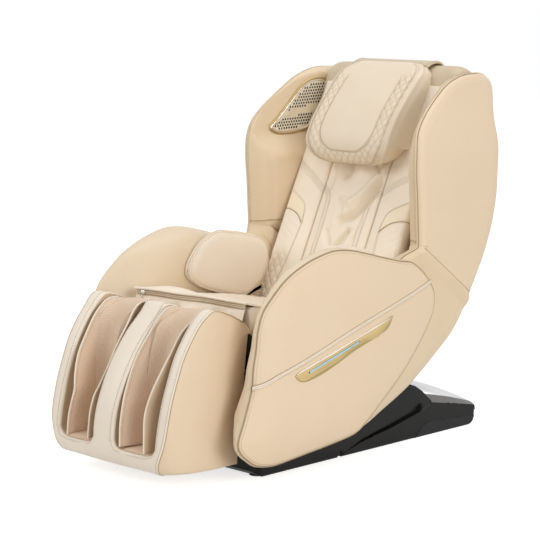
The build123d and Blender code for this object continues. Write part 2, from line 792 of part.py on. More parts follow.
with BuildPart() as recline_rod:
    with BuildSketch(rod_face.offset(fork_back)):
        Circle(rod_radius)
    extrude(amount=rod_length - fork_back)
    fork_inner = bracket_thick / 2 + 2
    fork_outer = fork_inner + fork_plate
    fork_half = drive_pin + 4
    with BuildSketch(rod_face.offset(-fork_half)):
        fork_side = (fork_inner + fork_outer) / 2
        with Locations((fork_side, 0), (-fork_side, 0)):
            Rectangle(fork_plate, 2 * fork_half)
    extrude(amount=fork_back + fork_half)
    with BuildSketch(rod_face.offset(fork_back)):
        Rectangle(2 * fork_outer, 2 * fork_half)
    extrude(amount=fork_plate)
    with BuildSketch(drive_axis.offset(-fork_outer)):
        with Locations((pin_start, 0)):
            Circle(drive_pin)
    extrude(amount=2 * fork_outer)
save(recline_rod.part, "recline_rod")

with BuildPart() as legrest_motor:
    motor_start = -leg_half + 20
    with BuildSketch(side.offset(-plate_outer + 1)):
        with Locations((hinge_y, hinge_z)):
            Circle(hinge_stub)
    extrude(amount=plate_outer - 1 + motor_start + hinge_stub)
    with BuildSketch(side.offset(motor_start)):
        with Locations((hinge_y, hinge_z)):
            Circle(motor_radius)
    extrude(amount=motor_length)
save(legrest_motor.part, "legrest_motor")

# ---------------------------------------------------------------- massage carriage
carriage_centre = on_back(carriage_place, guide_front + guide_depth / 2)
carriage_plane = tilted(*carriage_centre, 90 - back_lean)
slide_gap = fit_gap
shoe_reach = guide_inner + guide_width - guide_lip - slide_gap

with BuildPart() as carriage_frame:
    with BuildSketch(carriage_plane.offset(-shoe_reach)):
        shoe_place = (carriage_high - shoe_high) / 2
        with Locations((shoe_place, 0), (-shoe_place, 0)):
            Rectangle(shoe_high, guide_depth - 2 * guide_lip - 2 * slide_gap)
    extrude(amount=2 * shoe_reach)
    for cheek_side in (cheek_place, -cheek_place - cheek_thick):
        with BuildSketch(carriage_plane.offset(cheek_side)):
            Rectangle(carriage_high, guide_depth)
        extrude(amount=cheek_thick)
    with BuildSketch(carriage_plane.offset(-shoe_reach)):
        Circle(knead_radius + run_gap)
    extrude(amount=2 * shoe_reach, mode=Mode.SUBTRACT)
save(carriage_frame.part, "carriage_frame")

with BuildPart() as carriage_motor:
    with BuildSketch(carriage_plane.offset(-gearbox_width / 2)):
        with Locations((0, -guide_depth / 2 - gearbox_deep / 2 - 1)):
            RectangleRounded(carriage_high - 20, gearbox_deep, 5)
    extrude(amount=gearbox_width)
save(carriage_motor.part, "carriage_motor")

with BuildPart() as kneading_shaft:
    with BuildSketch(carriage_plane.offset(-knead_half)):
        Circle(knead_radius)
    extrude(amount=2 * knead_half)
    for cam_side in (-1, 1):
        with BuildSketch(carriage_plane.offset(cam_side * massage_roller_place - 5)):
            with Locations((2, 0)):
                Circle(knead_radius + 4)
        extrude(amount=10)
save(kneading_shaft.part, "kneading_shaft")

roller_depth = guide_front + guide_depth / 2 - back_thick - massage_roller - 4
with BuildPart() as massage_arms:
    for arm_side in (-1, 1):
        arm_x = arm_side * (massage_roller_place + massage_roller_width / 2 + 7) - 3
        with BuildSketch(carriage_plane.offset(arm_x)):
            with BuildLine():
                Polyline(
                    (-massage_spread - 9, roller_depth + 9), (massage_spread + 9, roller_depth + 9),
                    (massage_spread + 9, roller_depth - 9), (34, 22), (34, -20), (-34, -20), (-34, 22),
                    (-massage_spread - 9, roller_depth - 9), close=True,
                )
            make_face()
            Circle(knead_radius + run_gap, mode=Mode.SUBTRACT)
            with Locations((massage_spread, roller_depth), (-massage_spread, roller_depth)):
                Circle(4 + run_gap, mode=Mode.SUBTRACT)
        extrude(amount=6)
    with BuildSketch(carriage_plane.offset(-massage_roller_place - massage_roller_width / 2 - 8)):
        with Locations((0, -guide_depth / 2 + 1)):
            Rectangle(40, 4)
    extrude(amount=2 * massage_roller_place + massage_roller_width + 16)
save(massage_arms.part, "massage_arms")

for pair_name, pair_place in (("upper", massage_spread), ("lower", -massage_spread)):
    with BuildPart() as massage_rollers:
        with BuildSketch(carriage_plane.offset(-massage_roller_place - massage_roller_width / 2 - 12)):
            with Locations((pair_place, roller_depth)):
                Circle(4)
        extrude(amount=2 * massage_roller_place + massage_roller_width + 24)
        for roller_side in (-1, 1):
            roller_x = roller_side * massage_roller_place - massage_roller_width / 2
            with BuildSketch(carriage_plane.offset(roller_x)):
                with Locations((pair_place, roller_depth)):
                    Circle(massage_roller)
            extrude(amount=massage_roller_width)
    save(massage_rollers.part, f"massage_rollers_{pair_name}")

# ---------------------------------------------------------------- leg rest
well_top = well_back[0][1]
leg_rear_high = (hinge_y + hinge_radius + 4, hinge_z + hinge_radius + 9)

with BuildPart() as legrest_shell:
    with BuildSketch(side.offset(-leg_half)):
        with BuildLine():
            Polyline(leg_rear_high, *leg_low_line, leg_front_line[0])
            Spline(*leg_front_line)
            Line(leg_front_line[-1], leg_rear_high)
        make_face()
    extrude(amount=2 * leg_half)
    with BuildSketch(side.offset(divider_half)):
        with BuildLine():
            Spline(*well_back)
            Polyline(well_back[-1], (leg_front - 10, sole_top), (leg_front - 10, well_top), well_back[0])
        make_face()
        with BuildLine():
            Spline(*[(y + calf_thick + fit_gap, z) for y, z in well_back])
            Polyline(
                (well_back[-1][0] + calf_thick + fit_gap, sole_top), (leg_front - 10, sole_top),
                (leg_front - 10, well_top), (well_back[0][0] + calf_thick + fit_gap, well_top),
            )
        make_face()
    extrude(amount=well_outer - divider_half, mode=Mode.SUBTRACT)
    mirror(about=Plane.YZ, mode=Mode.INTERSECT)
    room_front = well_back[-1][0] + calf_thick + fit_gap + 2 * leg_wall
    room_rear = leg_low_line[0][0] + 10
    room_top = hinge_z + hinge_radius + 3
    with BuildSketch(side.offset(-leg_half + leg_wall)):
        with BuildLine():
            Polyline(
                (room_front, leg_room_low), (room_rear, leg_room_low - leg_wall), (room_rear, room_top),
                (hinge_y - hinge_radius - 3, room_top), (hinge_y - hinge_radius - 3, hinge_z - hinge_bore),
                (room_front, leg_room_high), close=True,
            )
        make_face()
    extrude(amount=2 * (leg_half - leg_wall), mode=Mode.SUBTRACT)
    with BuildSketch(side.offset(-leg_half)):
        with Locations((hinge_y, hinge_z)):
            Circle(hinge_stub + 2)
    extrude(amount=2 * leg_half, mode=Mode.SUBTRACT)
    with Locations((0, foot_roller_y, foot_roller_z - 6)):
        Box(2 * well_outer - 10, foot_room_length, foot_room_high, mode=Mode.SUBTRACT)
    with Locations((0, foot_roller_y, foot_roller_z)):
        Cylinder(foot_shaft + run_gap, 2 * well_outer + 10, rotation=(0, 90, 0), mode=Mode.SUBTRACT)
save(legrest_shell.part, "legrest_shell")

with BuildPart() as foot_roller:
    with Locations((0, foot_roller_y, foot_roller_z)):
        Cylinder(foot_shaft, 2 * well_outer + 6, rotation=(0, 90, 0))
    for roller_x in (-foot_roller_outer, -foot_roller_inner, foot_roller_inner, foot_roller_outer):
        with Locations((roller_x, foot_roller_y, foot_roller_z)):
            Cylinder(foot_roller_radius, foot_roller_width, rotation=(0, 90, 0))
save(foot_roller.part, "foot_roller")

tube_half = leg_half - leg_wall - 3
with BuildPart() as legrest_frame:
    with BuildSketch(side.offset(-tube_half)):
        with Locations((hinge_y, hinge_z)):
            Circle(hinge_radius)
    extrude(amount=2 * tube_half)
    with BuildSketch(side.offset(-tube_half + 6)):
        with Locations((hinge_y, hinge_z)):
            Circle(hinge_bore)
    extrude(amount=2 * tube_half - 12, mode=Mode.SUBTRACT)
    with BuildSketch(side.offset(-tube_half)):
        with Locations((hinge_y, hinge_z)):
            Circle(hinge_stub + run_gap)
    extrude(amount=6, mode=Mode.SUBTRACT)
    with BuildSketch(side.offset(tube_half - 6)):
        with Locations((hinge_y, hinge_z)):
            Circle(hinge_stub)
    extrude(amount=plate_outer - 1 - tube_half + 6)
    for strap_side in (120, -132):
        with BuildSketch(side.offset(strap_side)):
            with BuildLine():
                Polyline(
                    (hinge_y + 12, hinge_z - 22), (room_front + 22, leg_room_low + 30),
                    (room_front + 1, leg_room_low + 30), (room_front + 1, leg_room_high),
                    (hinge_y - 15, hinge_z - hinge_bore), close=True,
                )
            make_face()
        extrude(amount=12)
save(legrest_frame.part, "legrest_frame")

pad_foot = sole_top + sole_thick + 8
pad_head = well_top - 25
pad_low = divider_half + flap_width + fit_gap
pad_high = well_outer - flap_width - fit_gap
with BuildPart() as calf_pad:
    with BuildSketch(side.offset(pad_low)):
        with BuildLine():
            Spline(*well_back)
            Line(well_back[-1], (well_back[-1][0] + calf_thick, well_back[-1][1]))
            Spline(*[(y + calf_thick, z) for y, z in reversed(well_back)])
            Line((well_back[0][0] + calf_thick, well_back[0][1]), well_back[0])
        make_face()
        with BuildSketch(mode=Mode.PRIVATE) as pad_room:
            with Locations((well_back[2][0], (pad_foot + pad_head) / 2)):
                Rectangle(2 * (leg_half - calf_thick), pad_head - pad_foot)
        add(pad_room.sketch, mode=Mode.INTERSECT)
    extrude(amount=pad_high - pad_low)
save_pair(calf_pad.part, "calf_pad")

with BuildPart() as well_flaps:
    for flap_x in (divider_half + fit_gap, well_outer - fit_gap - flap_width):
        with BuildSketch(side.offset(flap_x)):
            with BuildLine():
                Spline(*flap_outline, periodic=True)
            make_face()
        extrude(amount=flap_width)
save_pair(well_flaps.part, "well_flaps")

with BuildPart() as sole_pad:
    sole_y = well_back[-1][0] - 20 - sole_length / 2
    with Locations(((pad_low + pad_high) / 2, sole_y, sole_top + sole_thick / 2 + fit_gap)):
        Box(pad_high - pad_low - 2, sole_length, sole_thick)
    fillet(sole_pad.edges().filter_by(Axis.Z), 6)
save_pair(sole_pad.part, "sole_pad")
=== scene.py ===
# Massage chair: leather, fabric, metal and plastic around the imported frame.
# Lengths are millimetres in the dictionaries and become metres in the meshes.
import math

import bmesh
import bpy
import numpy as np
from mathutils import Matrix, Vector


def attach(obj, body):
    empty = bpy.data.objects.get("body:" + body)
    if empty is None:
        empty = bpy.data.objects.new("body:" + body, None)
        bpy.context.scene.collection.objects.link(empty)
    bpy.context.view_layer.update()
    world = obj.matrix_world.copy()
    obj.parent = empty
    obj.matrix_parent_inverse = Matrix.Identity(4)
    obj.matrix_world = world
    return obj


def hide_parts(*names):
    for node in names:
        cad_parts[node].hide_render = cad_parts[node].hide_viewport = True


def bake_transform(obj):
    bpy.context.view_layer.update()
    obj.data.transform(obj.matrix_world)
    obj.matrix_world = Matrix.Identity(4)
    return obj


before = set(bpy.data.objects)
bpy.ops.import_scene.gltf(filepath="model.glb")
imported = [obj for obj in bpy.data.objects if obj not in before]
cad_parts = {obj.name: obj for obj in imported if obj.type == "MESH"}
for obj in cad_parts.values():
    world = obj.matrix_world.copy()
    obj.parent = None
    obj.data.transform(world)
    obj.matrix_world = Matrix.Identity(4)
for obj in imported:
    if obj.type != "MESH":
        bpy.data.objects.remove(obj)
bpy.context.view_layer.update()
print("frame loaded:", len(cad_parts), "nodes")

mm = 0.001
view = {"azimuth": 45.1, "elevation": 8.7, "distance": 5528, "target": (13, 0, 510), "lens": 128.7}


def setCamera():
    azimuth, elevation = math.radians(view["azimuth"]), math.radians(view["elevation"])
    towards = Vector((math.sin(azimuth) * math.cos(elevation), -math.cos(azimuth) * math.cos(elevation),
                      math.sin(elevation)))
    data = bpy.data.cameras.new("camera")
    data.lens = view["lens"]
    data.sensor_width = 36
    data.clip_end = 60
    camera = bpy.data.objects.new("camera", data)
    camera.location = (Vector(view["target"]) + towards * view["distance"]) * mm
    camera.rotation_euler = towards.to_track_quat("Z", "Y").to_euler()
    bpy.context.scene.collection.objects.link(camera)
    bpy.context.scene.camera = camera


setCamera()


# small geometry helpers; outlines are (y, z) and whole shapes (x, y, z), all in mm

def smoothLine(points, count, closed=False):
    # a smooth line through the points, cut into even steps
    given = np.array(points, float)
    if closed:
        held = np.vstack([given[-1:], given, given[:2]])
    else:
        held = np.vstack([2 * given[:1] - given[1:2], given, 2 * given[-1:] - given[-2:-1]])
    step = np.linspace(0, 1, 24, endpoint=False)[:, None]
    runs = []
    for a, b, c, d in zip(held[:-3], held[1:-2], held[2:-1], held[3:]):
        runs.append(0.5 * (2 * b + (c - a) * step + (2 * a - 5 * b + 4 * c - d) * step**2
                           + (3 * b - a - 3 * c + d) * step**3))
    dense = np.vstack(runs + [given[:1] if closed else given[-1:]])
    return evenLine(dense, count, closed)


def evenLine(points, count, closed=False):
    dense = np.array(points, float)
    if closed and np.linalg.norm(dense[0] - dense[-1]) > 1e-6:
        dense = np.vstack([dense, dense[:1]])
    length = np.concatenate([[0], np.cumsum(np.linalg.norm(np.diff(dense, axis=0), axis=1))])
    places = np.linspace(0, length[-1], count, endpoint=not closed)
    return np.column_stack([np.interp(places, length, dense[:, k]) for k in range(dense.shape[1])])


def roundedLine(points, radius, count, closed=True):
    # straight runs with rounded corners, cut into even steps
    given = np.array(points, float)
    radii = radius if hasattr(radius, "__len__") else [radius] * len(given)
    line = []
    for k, corner in enumerate(given):
        before, after = given[k - 1] - corner, given[(k + 1) % len(given)] - corner
        if not closed and k in (0, len(given) - 1):
            line.append(corner)
            continue
        reach = min(radii[k], np.linalg.norm(before) / 2, np.linalg.norm(after) / 2)
        start = corner + before / np.linalg.norm(before) * reach
        end = corner + after / np.linalg.norm(after) * reach
        for t in np.linspace(0, 1, 9):
            line.append((1 - t)**2 * start + 2 * t * (1 - t) * corner + t**2 * end)
    return evenLine(line, count, closed)


def outwards(line):
    # unit normals of a closed line in its plane, pointing away from its inside
    ahead = np.roll(line, -1, axis=0) - np.roll(line, 1, axis=0)
    normal = np.column_stack([ahead[:, 1], -ahead[:, 0]])
    normal /= np.linalg.norm(normal, axis=1)[:, None]
    area = np.sum(line[:, 0] * np.roll(line[:, 1], -1) - np.roll(line[:, 0], -1) * line[:, 1])
    return normal if area > 0 else -normal


def eased(value, low, high):
    t = np.clip((np.asarray(value, float) - low) / (high - low), 0, 1)
    return t * t * (3 - 2 * t)


def lineDistance(points, line):
    # distance from each point to a polyline, in their plane
    best = np.full(len(points), 1e9)
    for a, b in zip(line[:-1], line[1:]):
        along = b - a
        t = np.clip(((points - a) @ along) / max(along @ along, 1e-9), 0, 1)
        best = np.minimum(best, np.linalg.norm(points - a - t[:, None] * along, axis=1))
    return best


def inside(points, outline):
    # which points lie inside a closed outline
    result = np.zeros(len(points), bool)
    for a, b in zip(outline, np.roll(outline, -1, axis=0)):
        crosses = (a[1] > points[:, 1]) != (b[1] > points[:, 1])
        with np.errstate(divide="ignore", invalid="ignore"):
            side = (b[0] - a[0]) * (points[:, 1] - a[1]) / (b[1] - a[1]) + a[0]
        result ^= crosses & (points[:, 0] < side)
    return result


cradle = {"y": -151, "z": 865}
backLine = {"y": 275, "z": 530, "lean": math.radians(25.5)}


def onBack(x, along, front):
    # a place on the back: along it from its foot, and in front of its face
    lean = backLine["lean"]
    return np.stack(np.broadcast_arrays(
        x, backLine["y"] + along * math.sin(lean) - front * math.cos(lean),
        backLine["z"] + along * math.cos(lean) + front * math.sin(lean)), axis=-1)


def makeMesh(name, points, faces, materials, bands=None, smooth=True, solid=True, uv=None):
    mesh = bpy.data.meshes.new(name)
    mesh.from_pydata([tuple(point) for point in np.asarray(points, float) * mm], [], faces)
    for material in materials:
        mesh.materials.append(material)
    if bands is not None:
        mesh.polygons.foreach_set("material_index", np.asarray(bands, np.int32))
    mesh.polygons.foreach_set("use_smooth", np.full(len(mesh.polygons), smooth))
    if uv is not None:
        layer = mesh.uv_layers.new(name="surface")
        corner = np.empty(len(mesh.loops), np.int32)
        mesh.loops.foreach_get("vertex_index", corner)
        layer.data.foreach_set("uv", (np.asarray(uv, float)[corner] * mm).ravel())
    if solid:
        shape = bmesh.new()
        shape.from_mesh(mesh)
        bmesh.ops.remove_doubles(shape, verts=shape.verts, dist=2e-5)
        bmesh.ops.recalc_face_normals(shape, faces=shape.faces)
        shape.to_mesh(mesh)
        shape.free()
    piece = bpy.data.objects.new(name, mesh)
    bpy.context.scene.collection.objects.link(piece)
    return piece


def gridFaces(rows, columns, closed=False, start=0):
    faces = []
    for r in range(rows - 1):
        for c in range(columns if closed else columns - 1):
            d = (c + 1) % columns
            faces.append((start + r * columns + c, start + r * columns + d,
                          start + (r + 1) * columns + d, start + (r + 1) * columns + c))
    return faces


def sheetFaces(rows, columns, turned=False):
    # both faces of a sheet given as two layers of points, then its edge; turned swaps them over
    offset = rows * columns
    near = gridFaces(rows, columns)
    far = [tuple(offset + k for k in face) for face in near]
    faces = [face[::-1] for face in near] + far if turned else near + [face[::-1] for face in far]
    rim = [(0, c) for c in range(columns)] + [(r, columns - 1) for r in range(1, rows)]
    rim += [(rows - 1, c) for c in range(columns - 2, -1, -1)] + [(r, 0) for r in range(rows - 2, 0, -1)]
    places = [r * columns + c for r, c in rim]
    for i, j in zip(places, places[1:] + places[:1]):
        faces.append((i, j, offset + j, offset + i) if turned else (j, i, offset + i, offset + j))
    return faces


def ringSolid(name, rings, materials, ringBands=None):
    # a closed solid through a stack of closed rings, with a point in the middle of each end
    rings = np.asarray(rings, float)
    count, around = rings.shape[:2]
    points = np.vstack([rings.reshape(-1, 3), rings[0].mean(axis=0), rings[-1].mean(axis=0)])
    faces = gridFaces(count, around, closed=True)
    given = np.asarray(ringBands if ringBands is not None else [0] * (count - 1))
    grid = given if given.ndim == 2 else np.repeat(given[:, None], around, axis=1)
    bands = grid.ravel().tolist()
    for c in range(around):
        d = (c + 1) % around
        faces.append((d, c, count * around))
        faces.append(((count - 1) * around + c, (count - 1) * around + d, count * around + 1))
    for c in range(around):
        bands += [grid[0, c], grid[-1, c]]
    return makeMesh(name, points, faces, materials, bands)


def tubeAlong(name, line, radius, material, sides=8, closed=False, flat=1.0, up=(0, 0, 1)):
    # a round cord of leather or metal along a line
    line = np.asarray(line, float)
    if closed:
        ahead = np.roll(line, -1, axis=0) - np.roll(line, 1, axis=0)
    else:
        ahead = np.gradient(line, axis=0)
    ahead /= np.linalg.norm(ahead, axis=1)[:, None]
    across = np.cross(ahead, up)
    across /= np.linalg.norm(across, axis=1)[:, None] + 1e-9
    over = np.cross(across, ahead)
    turn = np.linspace(0, 2 * math.pi, sides, endpoint=False)
    reach = np.broadcast_to(radius, len(line))
    rings = (line[:, None] + across[:, None] * (np.cos(turn)[None, :, None] * reach[:, None, None])
             + over[:, None] * (np.sin(turn)[None, :, None] * reach[:, None, None] * flat))
    if not closed:
        return ringSolid(name, rings, [material])
    points = rings.reshape(-1, 3)
    faces = gridFaces(len(line), sides, closed=True)
    last = (len(line) - 1) * sides
    for c in range(sides):
        d = (c + 1) % sides
        faces.append((last + c, last + d, d, c))
    return makeMesh(name, points, faces, [material])


def joined(name, pieces):
    # several meshes as one piece
    keep = pieces[0]
    bpy.ops.object.select_all(action="DESELECT")
    for piece in pieces:
        piece.select_set(True)
    bpy.context.view_layer.objects.active = keep
    bpy.ops.object.join()
    keep.name = name
    keep.data.name = name
    return keep


def mirrored(piece, name):
    # the same piece on the sitter's right
    mesh = piece.data.copy()
    mesh.name = name
    places = np.empty(len(mesh.vertices) * 3)
    mesh.vertices.foreach_get("co", places)
    places[0::3] *= -1
    mesh.vertices.foreach_set("co", places)
    mesh.flip_normals()
    twin = bpy.data.objects.new(name, mesh)
    bpy.context.scene.collection.objects.link(twin)
    return twin


def placesOf(piece):
    return np.array([v.co for v in piece.data.vertices]) / mm


def markSeamShade(piece, values):
    # how dark each point is drawn for the leather's shader: seam lines, with painted shade in their
    # grooves and creases; merged points would shift them
    if len(values) != len(piece.data.vertices):
        print(piece.name, "has merged points, so its seams stay unmarked")
        return
    piece.data.attributes.new("seam", "FLOAT", "POINT").data.foreach_set("value", values)


def rides(piece, body, slot, *nodes, fill=None):
    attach(piece, body)
    if nodes:
        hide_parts(*nodes)
    return piece


def bothSides(piece, name, body, slot, *nodes, fill=None):
    # the left piece, and its mirror image on the right; node names come without their side
    twin = mirrored(piece, name + "_right")
    piece.name = name + "_left"
    rides(piece, body, slot, *[node + "_left" for node in nodes], fill=fill)
    rides(twin, body, slot, *[node + "_right" for node in nodes], fill=fill)
    return piece, twin


# materials

def linear(code):
    # an sRGB hex colour as linear light
    parts = [int(code[k:k + 2], 16) / 255 for k in (1, 3, 5)]
    return [p / 12.92 if p <= 0.04045 else ((p + 0.055) / 1.055)**2.4 for p in parts] + [1]


def addNode(tree, kind, sockets=(), **settings):
    # sockets: an input's name or number, with its value or the output that feeds it
    node = tree.nodes.new(kind)
    for name, value in settings.items():
        setattr(node, name, value)
    for name, value in dict(sockets).items():
        if isinstance(value, bpy.types.NodeSocket):
            tree.links.new(value, node.inputs[name])
        else:
            node.inputs[name].default_value = value
    return node


def newMaterial(name, **values):
    # a surface with its fixed values on the shader's own sockets
    material = bpy.data.materials.new(name)
    material.use_nodes = True
    shader = material.node_tree.nodes["Principled BSDF"]
    for socket, value in values.items():
        shader.inputs[socket.replace("_", " ")].default_value = value
    return material, material.node_tree, shader


def mottled(tree, source, colour, shade, size, amount):
    # slow drift between a colour and its darker shade, over patches of this many mm
    noise = addNode(tree, "ShaderNodeTexNoise", {"Vector": source, "Scale": 1000 / size, "Detail": 3})
    drift = addNode(tree, "ShaderNodeMapRange", {"Value": noise.outputs["Fac"], "From Min": 0.3,
                                                 "From Max": 0.7, "To Max": amount})
    return addNode(tree, "ShaderNodeMix", {0: drift.outputs["Result"], 6: linear(colour),
                                           7: linear(shade)}, data_type="RGBA").outputs[2]


def makeLeather(name, colour, shade, grain, depth, roughness, crease=0.0):
    # coated leather: pebbled grain, slow colour drift and darker seams where the mesh marks them; the
    # marks also carry painted shade in grooves and creases
    material, tree, shader = newMaterial(name, Roughness=roughness, Specular_IOR_Level=0.38,
                                         Sheen_Weight=0.06, Sheen_Roughness=0.5)
    place = addNode(tree, "ShaderNodeTexCoord").outputs["Object"]
    base = mottled(tree, place, colour, shade, 160, 0.16)
    cells = addNode(tree, "ShaderNodeTexVoronoi", {"Vector": place, "Scale": 1000 / grain},
                    feature="SMOOTH_F1")
    pores = addNode(tree, "ShaderNodeMapRange", {"Value": cells.outputs["Distance"], "From Min": 0.1,
                                                 "From Max": 0.75, "To Max": 0.2})
    grained = addNode(tree, "ShaderNodeMix", {0: pores.outputs["Result"], 6: base, 7: linear(shade)},
                      data_type="RGBA").outputs[2]
    mark = addNode(tree, "ShaderNodeAttribute", attribute_name="seam").outputs["Fac"]
    # marked points darken to this brown: seam lines, and painted shade in grooves and creases
    seamShaded = addNode(tree, "ShaderNodeMix", {0: mark, 6: grained, 7: linear("#8d7350")},
                     data_type="RGBA").outputs[2]
    tree.links.new(seamShaded, shader.inputs["Base Color"])
    fine = addNode(tree, "ShaderNodeBump", {"Height": cells.outputs["Distance"], "Strength": 0.35,
                                            "Distance": depth * mm})
    folds = addNode(tree, "ShaderNodeTexNoise", {"Vector": place, "Scale": 1000 / 38, "Detail": 2,
                                                 "Distortion": 0.6})
    soft = addNode(tree, "ShaderNodeBump", {"Height": folds.outputs["Fac"], "Strength": 1.0,
                                            "Distance": crease * mm, "Normal": fine.outputs["Normal"]})
    tree.links.new(soft.outputs["Normal"], shader.inputs["Normal"])
    return material


def makeWoven(name, colour, shade, rib, roughness=0.8, slope=0.0):
    # ribbed knit on the piece's own UV map, which is in metres; ribs are drawn wider than real to show
    material, tree, shader = newMaterial(name, Roughness=roughness, Specular_IOR_Level=0.2,
                                         Sheen_Weight=0.25, Sheen_Roughness=0.4)
    place = addNode(tree, "ShaderNodeUVMap", uv_map="surface").outputs["UV"]
    turned = addNode(tree, "ShaderNodeMapping", {"Vector": place, "Rotation": (0, 0, slope)})
    ribs = addNode(tree, "ShaderNodeTexWave", {"Vector": turned.outputs["Vector"],
                                               "Scale": 100 * math.pi / rib,
                                               "Distortion": 0.4, "Detail": 1.0},
                   bands_direction="Y", wave_profile="SIN")
    threads = addNode(tree, "ShaderNodeTexNoise", {"Vector": place, "Scale": 1000 / 2.2, "Detail": 1})
    tone = addNode(tree, "ShaderNodeMath", {0: ribs.outputs["Fac"], 1: threads.outputs["Fac"]},
                   operation="MULTIPLY")
    base = addNode(tree, "ShaderNodeMix", {0: tone.outputs[0], 6: linear(shade), 7: linear(colour)},
                   data_type="RGBA").outputs[2]
    mark = addNode(tree, "ShaderNodeAttribute", attribute_name="seam").outputs["Fac"]
    # the same marks darken the fabric: seam lines and painted shade in their grooves
    seamShaded = addNode(tree, "ShaderNodeMix", {0: mark, 6: base, 7: linear("#8a6e52")}, data_type="RGBA")
    tree.links.new(seamShaded.outputs[2], shader.inputs["Base Color"])
    relief = addNode(tree, "ShaderNodeBump", {"Height": ribs.outputs["Fac"], "Strength": 0.6,
                                              "Distance": 0.7 * mm})
    tree.links.new(relief.outputs["Normal"], shader.inputs["Normal"])
    return material


def makeHard(name, colour, shade, roughness, metallic=0.0, grain=1.2, depth=0.03, drift=60, **more):
    # moulded plastic or metal: faint drift of tone and a fine skin on the surface
    material, tree, shader = newMaterial(name, Roughness=roughness, Metallic=metallic, **more)
    place = addNode(tree, "ShaderNodeTexCoord").outputs["Object"]
    tree.links.new(mottled(tree, place, colour, shade, drift, 0.6), shader.inputs["Base Color"])
    skin = addNode(tree, "ShaderNodeTexNoise", {"Vector": place, "Scale": 1000 / grain, "Detail": 2})
    bump = addNode(tree, "ShaderNodeBump", {"Height": skin.outputs["Fac"], "Strength": 0.4,
                                            "Distance": depth * mm})
    tree.links.new(bump.outputs["Normal"], shader.inputs["Normal"])
    return material


# polyurethane-coated leather, embossed: warm cream, a fine pebble that scatters the light
grainedLeather = makeLeather("grainedLeather", "#e7d1b5", "#dabf99", 3.2, 0.35, 0.5)
# the same maker's smooth skin: paler and pinker, softer light on the folds
smoothLeather = makeLeather("smoothLeather", "#f2e6d6", "#dfcdb3", 1.6, 0.12, 0.42, 0.25)
# the smooth skin again where it is gathered, with more loose creases
softLeather = makeLeather("softLeather", "#e8d8c1", "#d6c2a5", 1.6, 0.12, 0.4, 1.1)
# the back and seat take a brighter copy of the smooth skin, painted light where the lamps leave them in
# shade; the wings' insides take a deeper copy, painted shade; the cover a deeper tone
backLeather = makeLeather("backLeather", "#f6e9d6", "#e3cfb2", 1.6, 0.12, 0.4, 1.1)
# a darker, more saturated copy of the smooth skin: painted shade on the wings' deep inner faces, their
# front strips and the lower sides
sideLeather = makeLeather("sideLeather", "#e4cfb0", "#d3ba96", 1.6, 0.12, 0.44, 0.25)
coverLeather = makeLeather("coverLeather", "#cdbb9f", "#b9a483", 1.6, 0.12, 0.44, 1.1)
gussetLeather = makeLeather("gussetLeather", "#e6d3b8", "#cfb893", 1.6, 0.12, 0.44, 0.6)  # round the arms
inlayLeather = makeLeather("inlayLeather", "#f7e8cd", "#ead6b2", 1.6, 0.1, 0.42, 0.15)  # yellower inserts
pipingLeather = makeLeather("pipingLeather", "#efe1cf", "#decdb5", 1.2, 0.08, 0.38)  # rolled edge cord
wellLeather = makeLeather("wellLeather", "#d2b99b", "#bda07f", 1.6, 0.1, 0.5)  # a darker copy on the wells' walls: painted shade of the recess
# warp-knitted polyester with fine ribs: a pinkish tan with a dull sheen
ribbedFabric = makeWoven("ribbedFabric", "#f6e4d0", "#d8bca0", 4.2, slope=math.radians(28))
soleFabric = makeWoven("soleFabric", "#ecd5bd", "#d6bb9f", 4.0)
# the tape's own pale tone, lifted brighter as painted light against the shade under the flap's overhang
tapeFabric = makeWoven("tapeFabric", "#efe2cb", "#dccab0", 2.5)
sewingThread = makeHard("sewingThread", "#b59d78", "#9c835d", 0.7, grain=0.6, depth=0.05)  # polyester
paleThread = makeHard("paleThread", "#dccdb6", "#cbb99d", 0.7, grain=0.6, depth=0.05)
# anodised aluminium, satin: champagne gold that mirrors the room softly
champagneMetal = makeHard("champagneMetal", "#c0aa7c", "#af986a", 0.28, metallic=1.0)
# a darker copy of the trim's champagne metal: painted shade on its lower face
darkGoldMetal = makeHard("darkGoldMetal", "#9f8d5c", "#8a7846", 0.3, metallic=1.0)
paleMetal = makeHard("paleMetal", "#f7f1e2", "#ece3cb", 0.3, metallic=0.7)  # the grille's brushed field
toothMetal = makeHard("toothMetal", "#ecdfc8", "#d9c8ab", 0.4, metallic=0.3)  # dull zipper teeth, lifted pale as painted light under the flap
# a whiter, glossier metal: the zipper's puller, and painted highlights on the trim's top edge, the
# grille's bevel and the holes' lips
brightMetal = makeHard("brightMetal", "#e9e6e0", "#d2cec6", 0.18, metallic=1.0)
lightStrip = makeHard("lightStrip", "#a9cfdd", "#94bccd", 0.3, Emission_Color=linear("#a8d4e6"),
                      Emission_Strength=0.25)
# glossy moulded ABS of the base: near black, mirrors the studio on its top
glossPlastic = makeHard("glossPlastic", "#121213", "#0d0d0d", 0.1, depth=0.01, Coat_Weight=1.0,
                        Coat_Roughness=0.05, Coat_IOR=2.4, IOR=2.2)
bevelPlastic = makeHard("bevelPlastic", "#62605d", "#565452", 0.2, depth=0.01, Coat_Weight=0.6,
                        Coat_Roughness=0.12)
lipPlastic = makeHard("lipPlastic", "#171615", "#121110", 0.4, grain=0.9, Specular_IOR_Level=0.2)
satinPlastic = makeHard("satinPlastic", "#151414", "#100f0f", 0.36, grain=0.9, Specular_IOR_Level=0.16)
kickPlastic = makeHard("kickPlastic", "#242324", "#1d1c1d", 0.4, grain=0.9, Specular_IOR_Level=0.16)
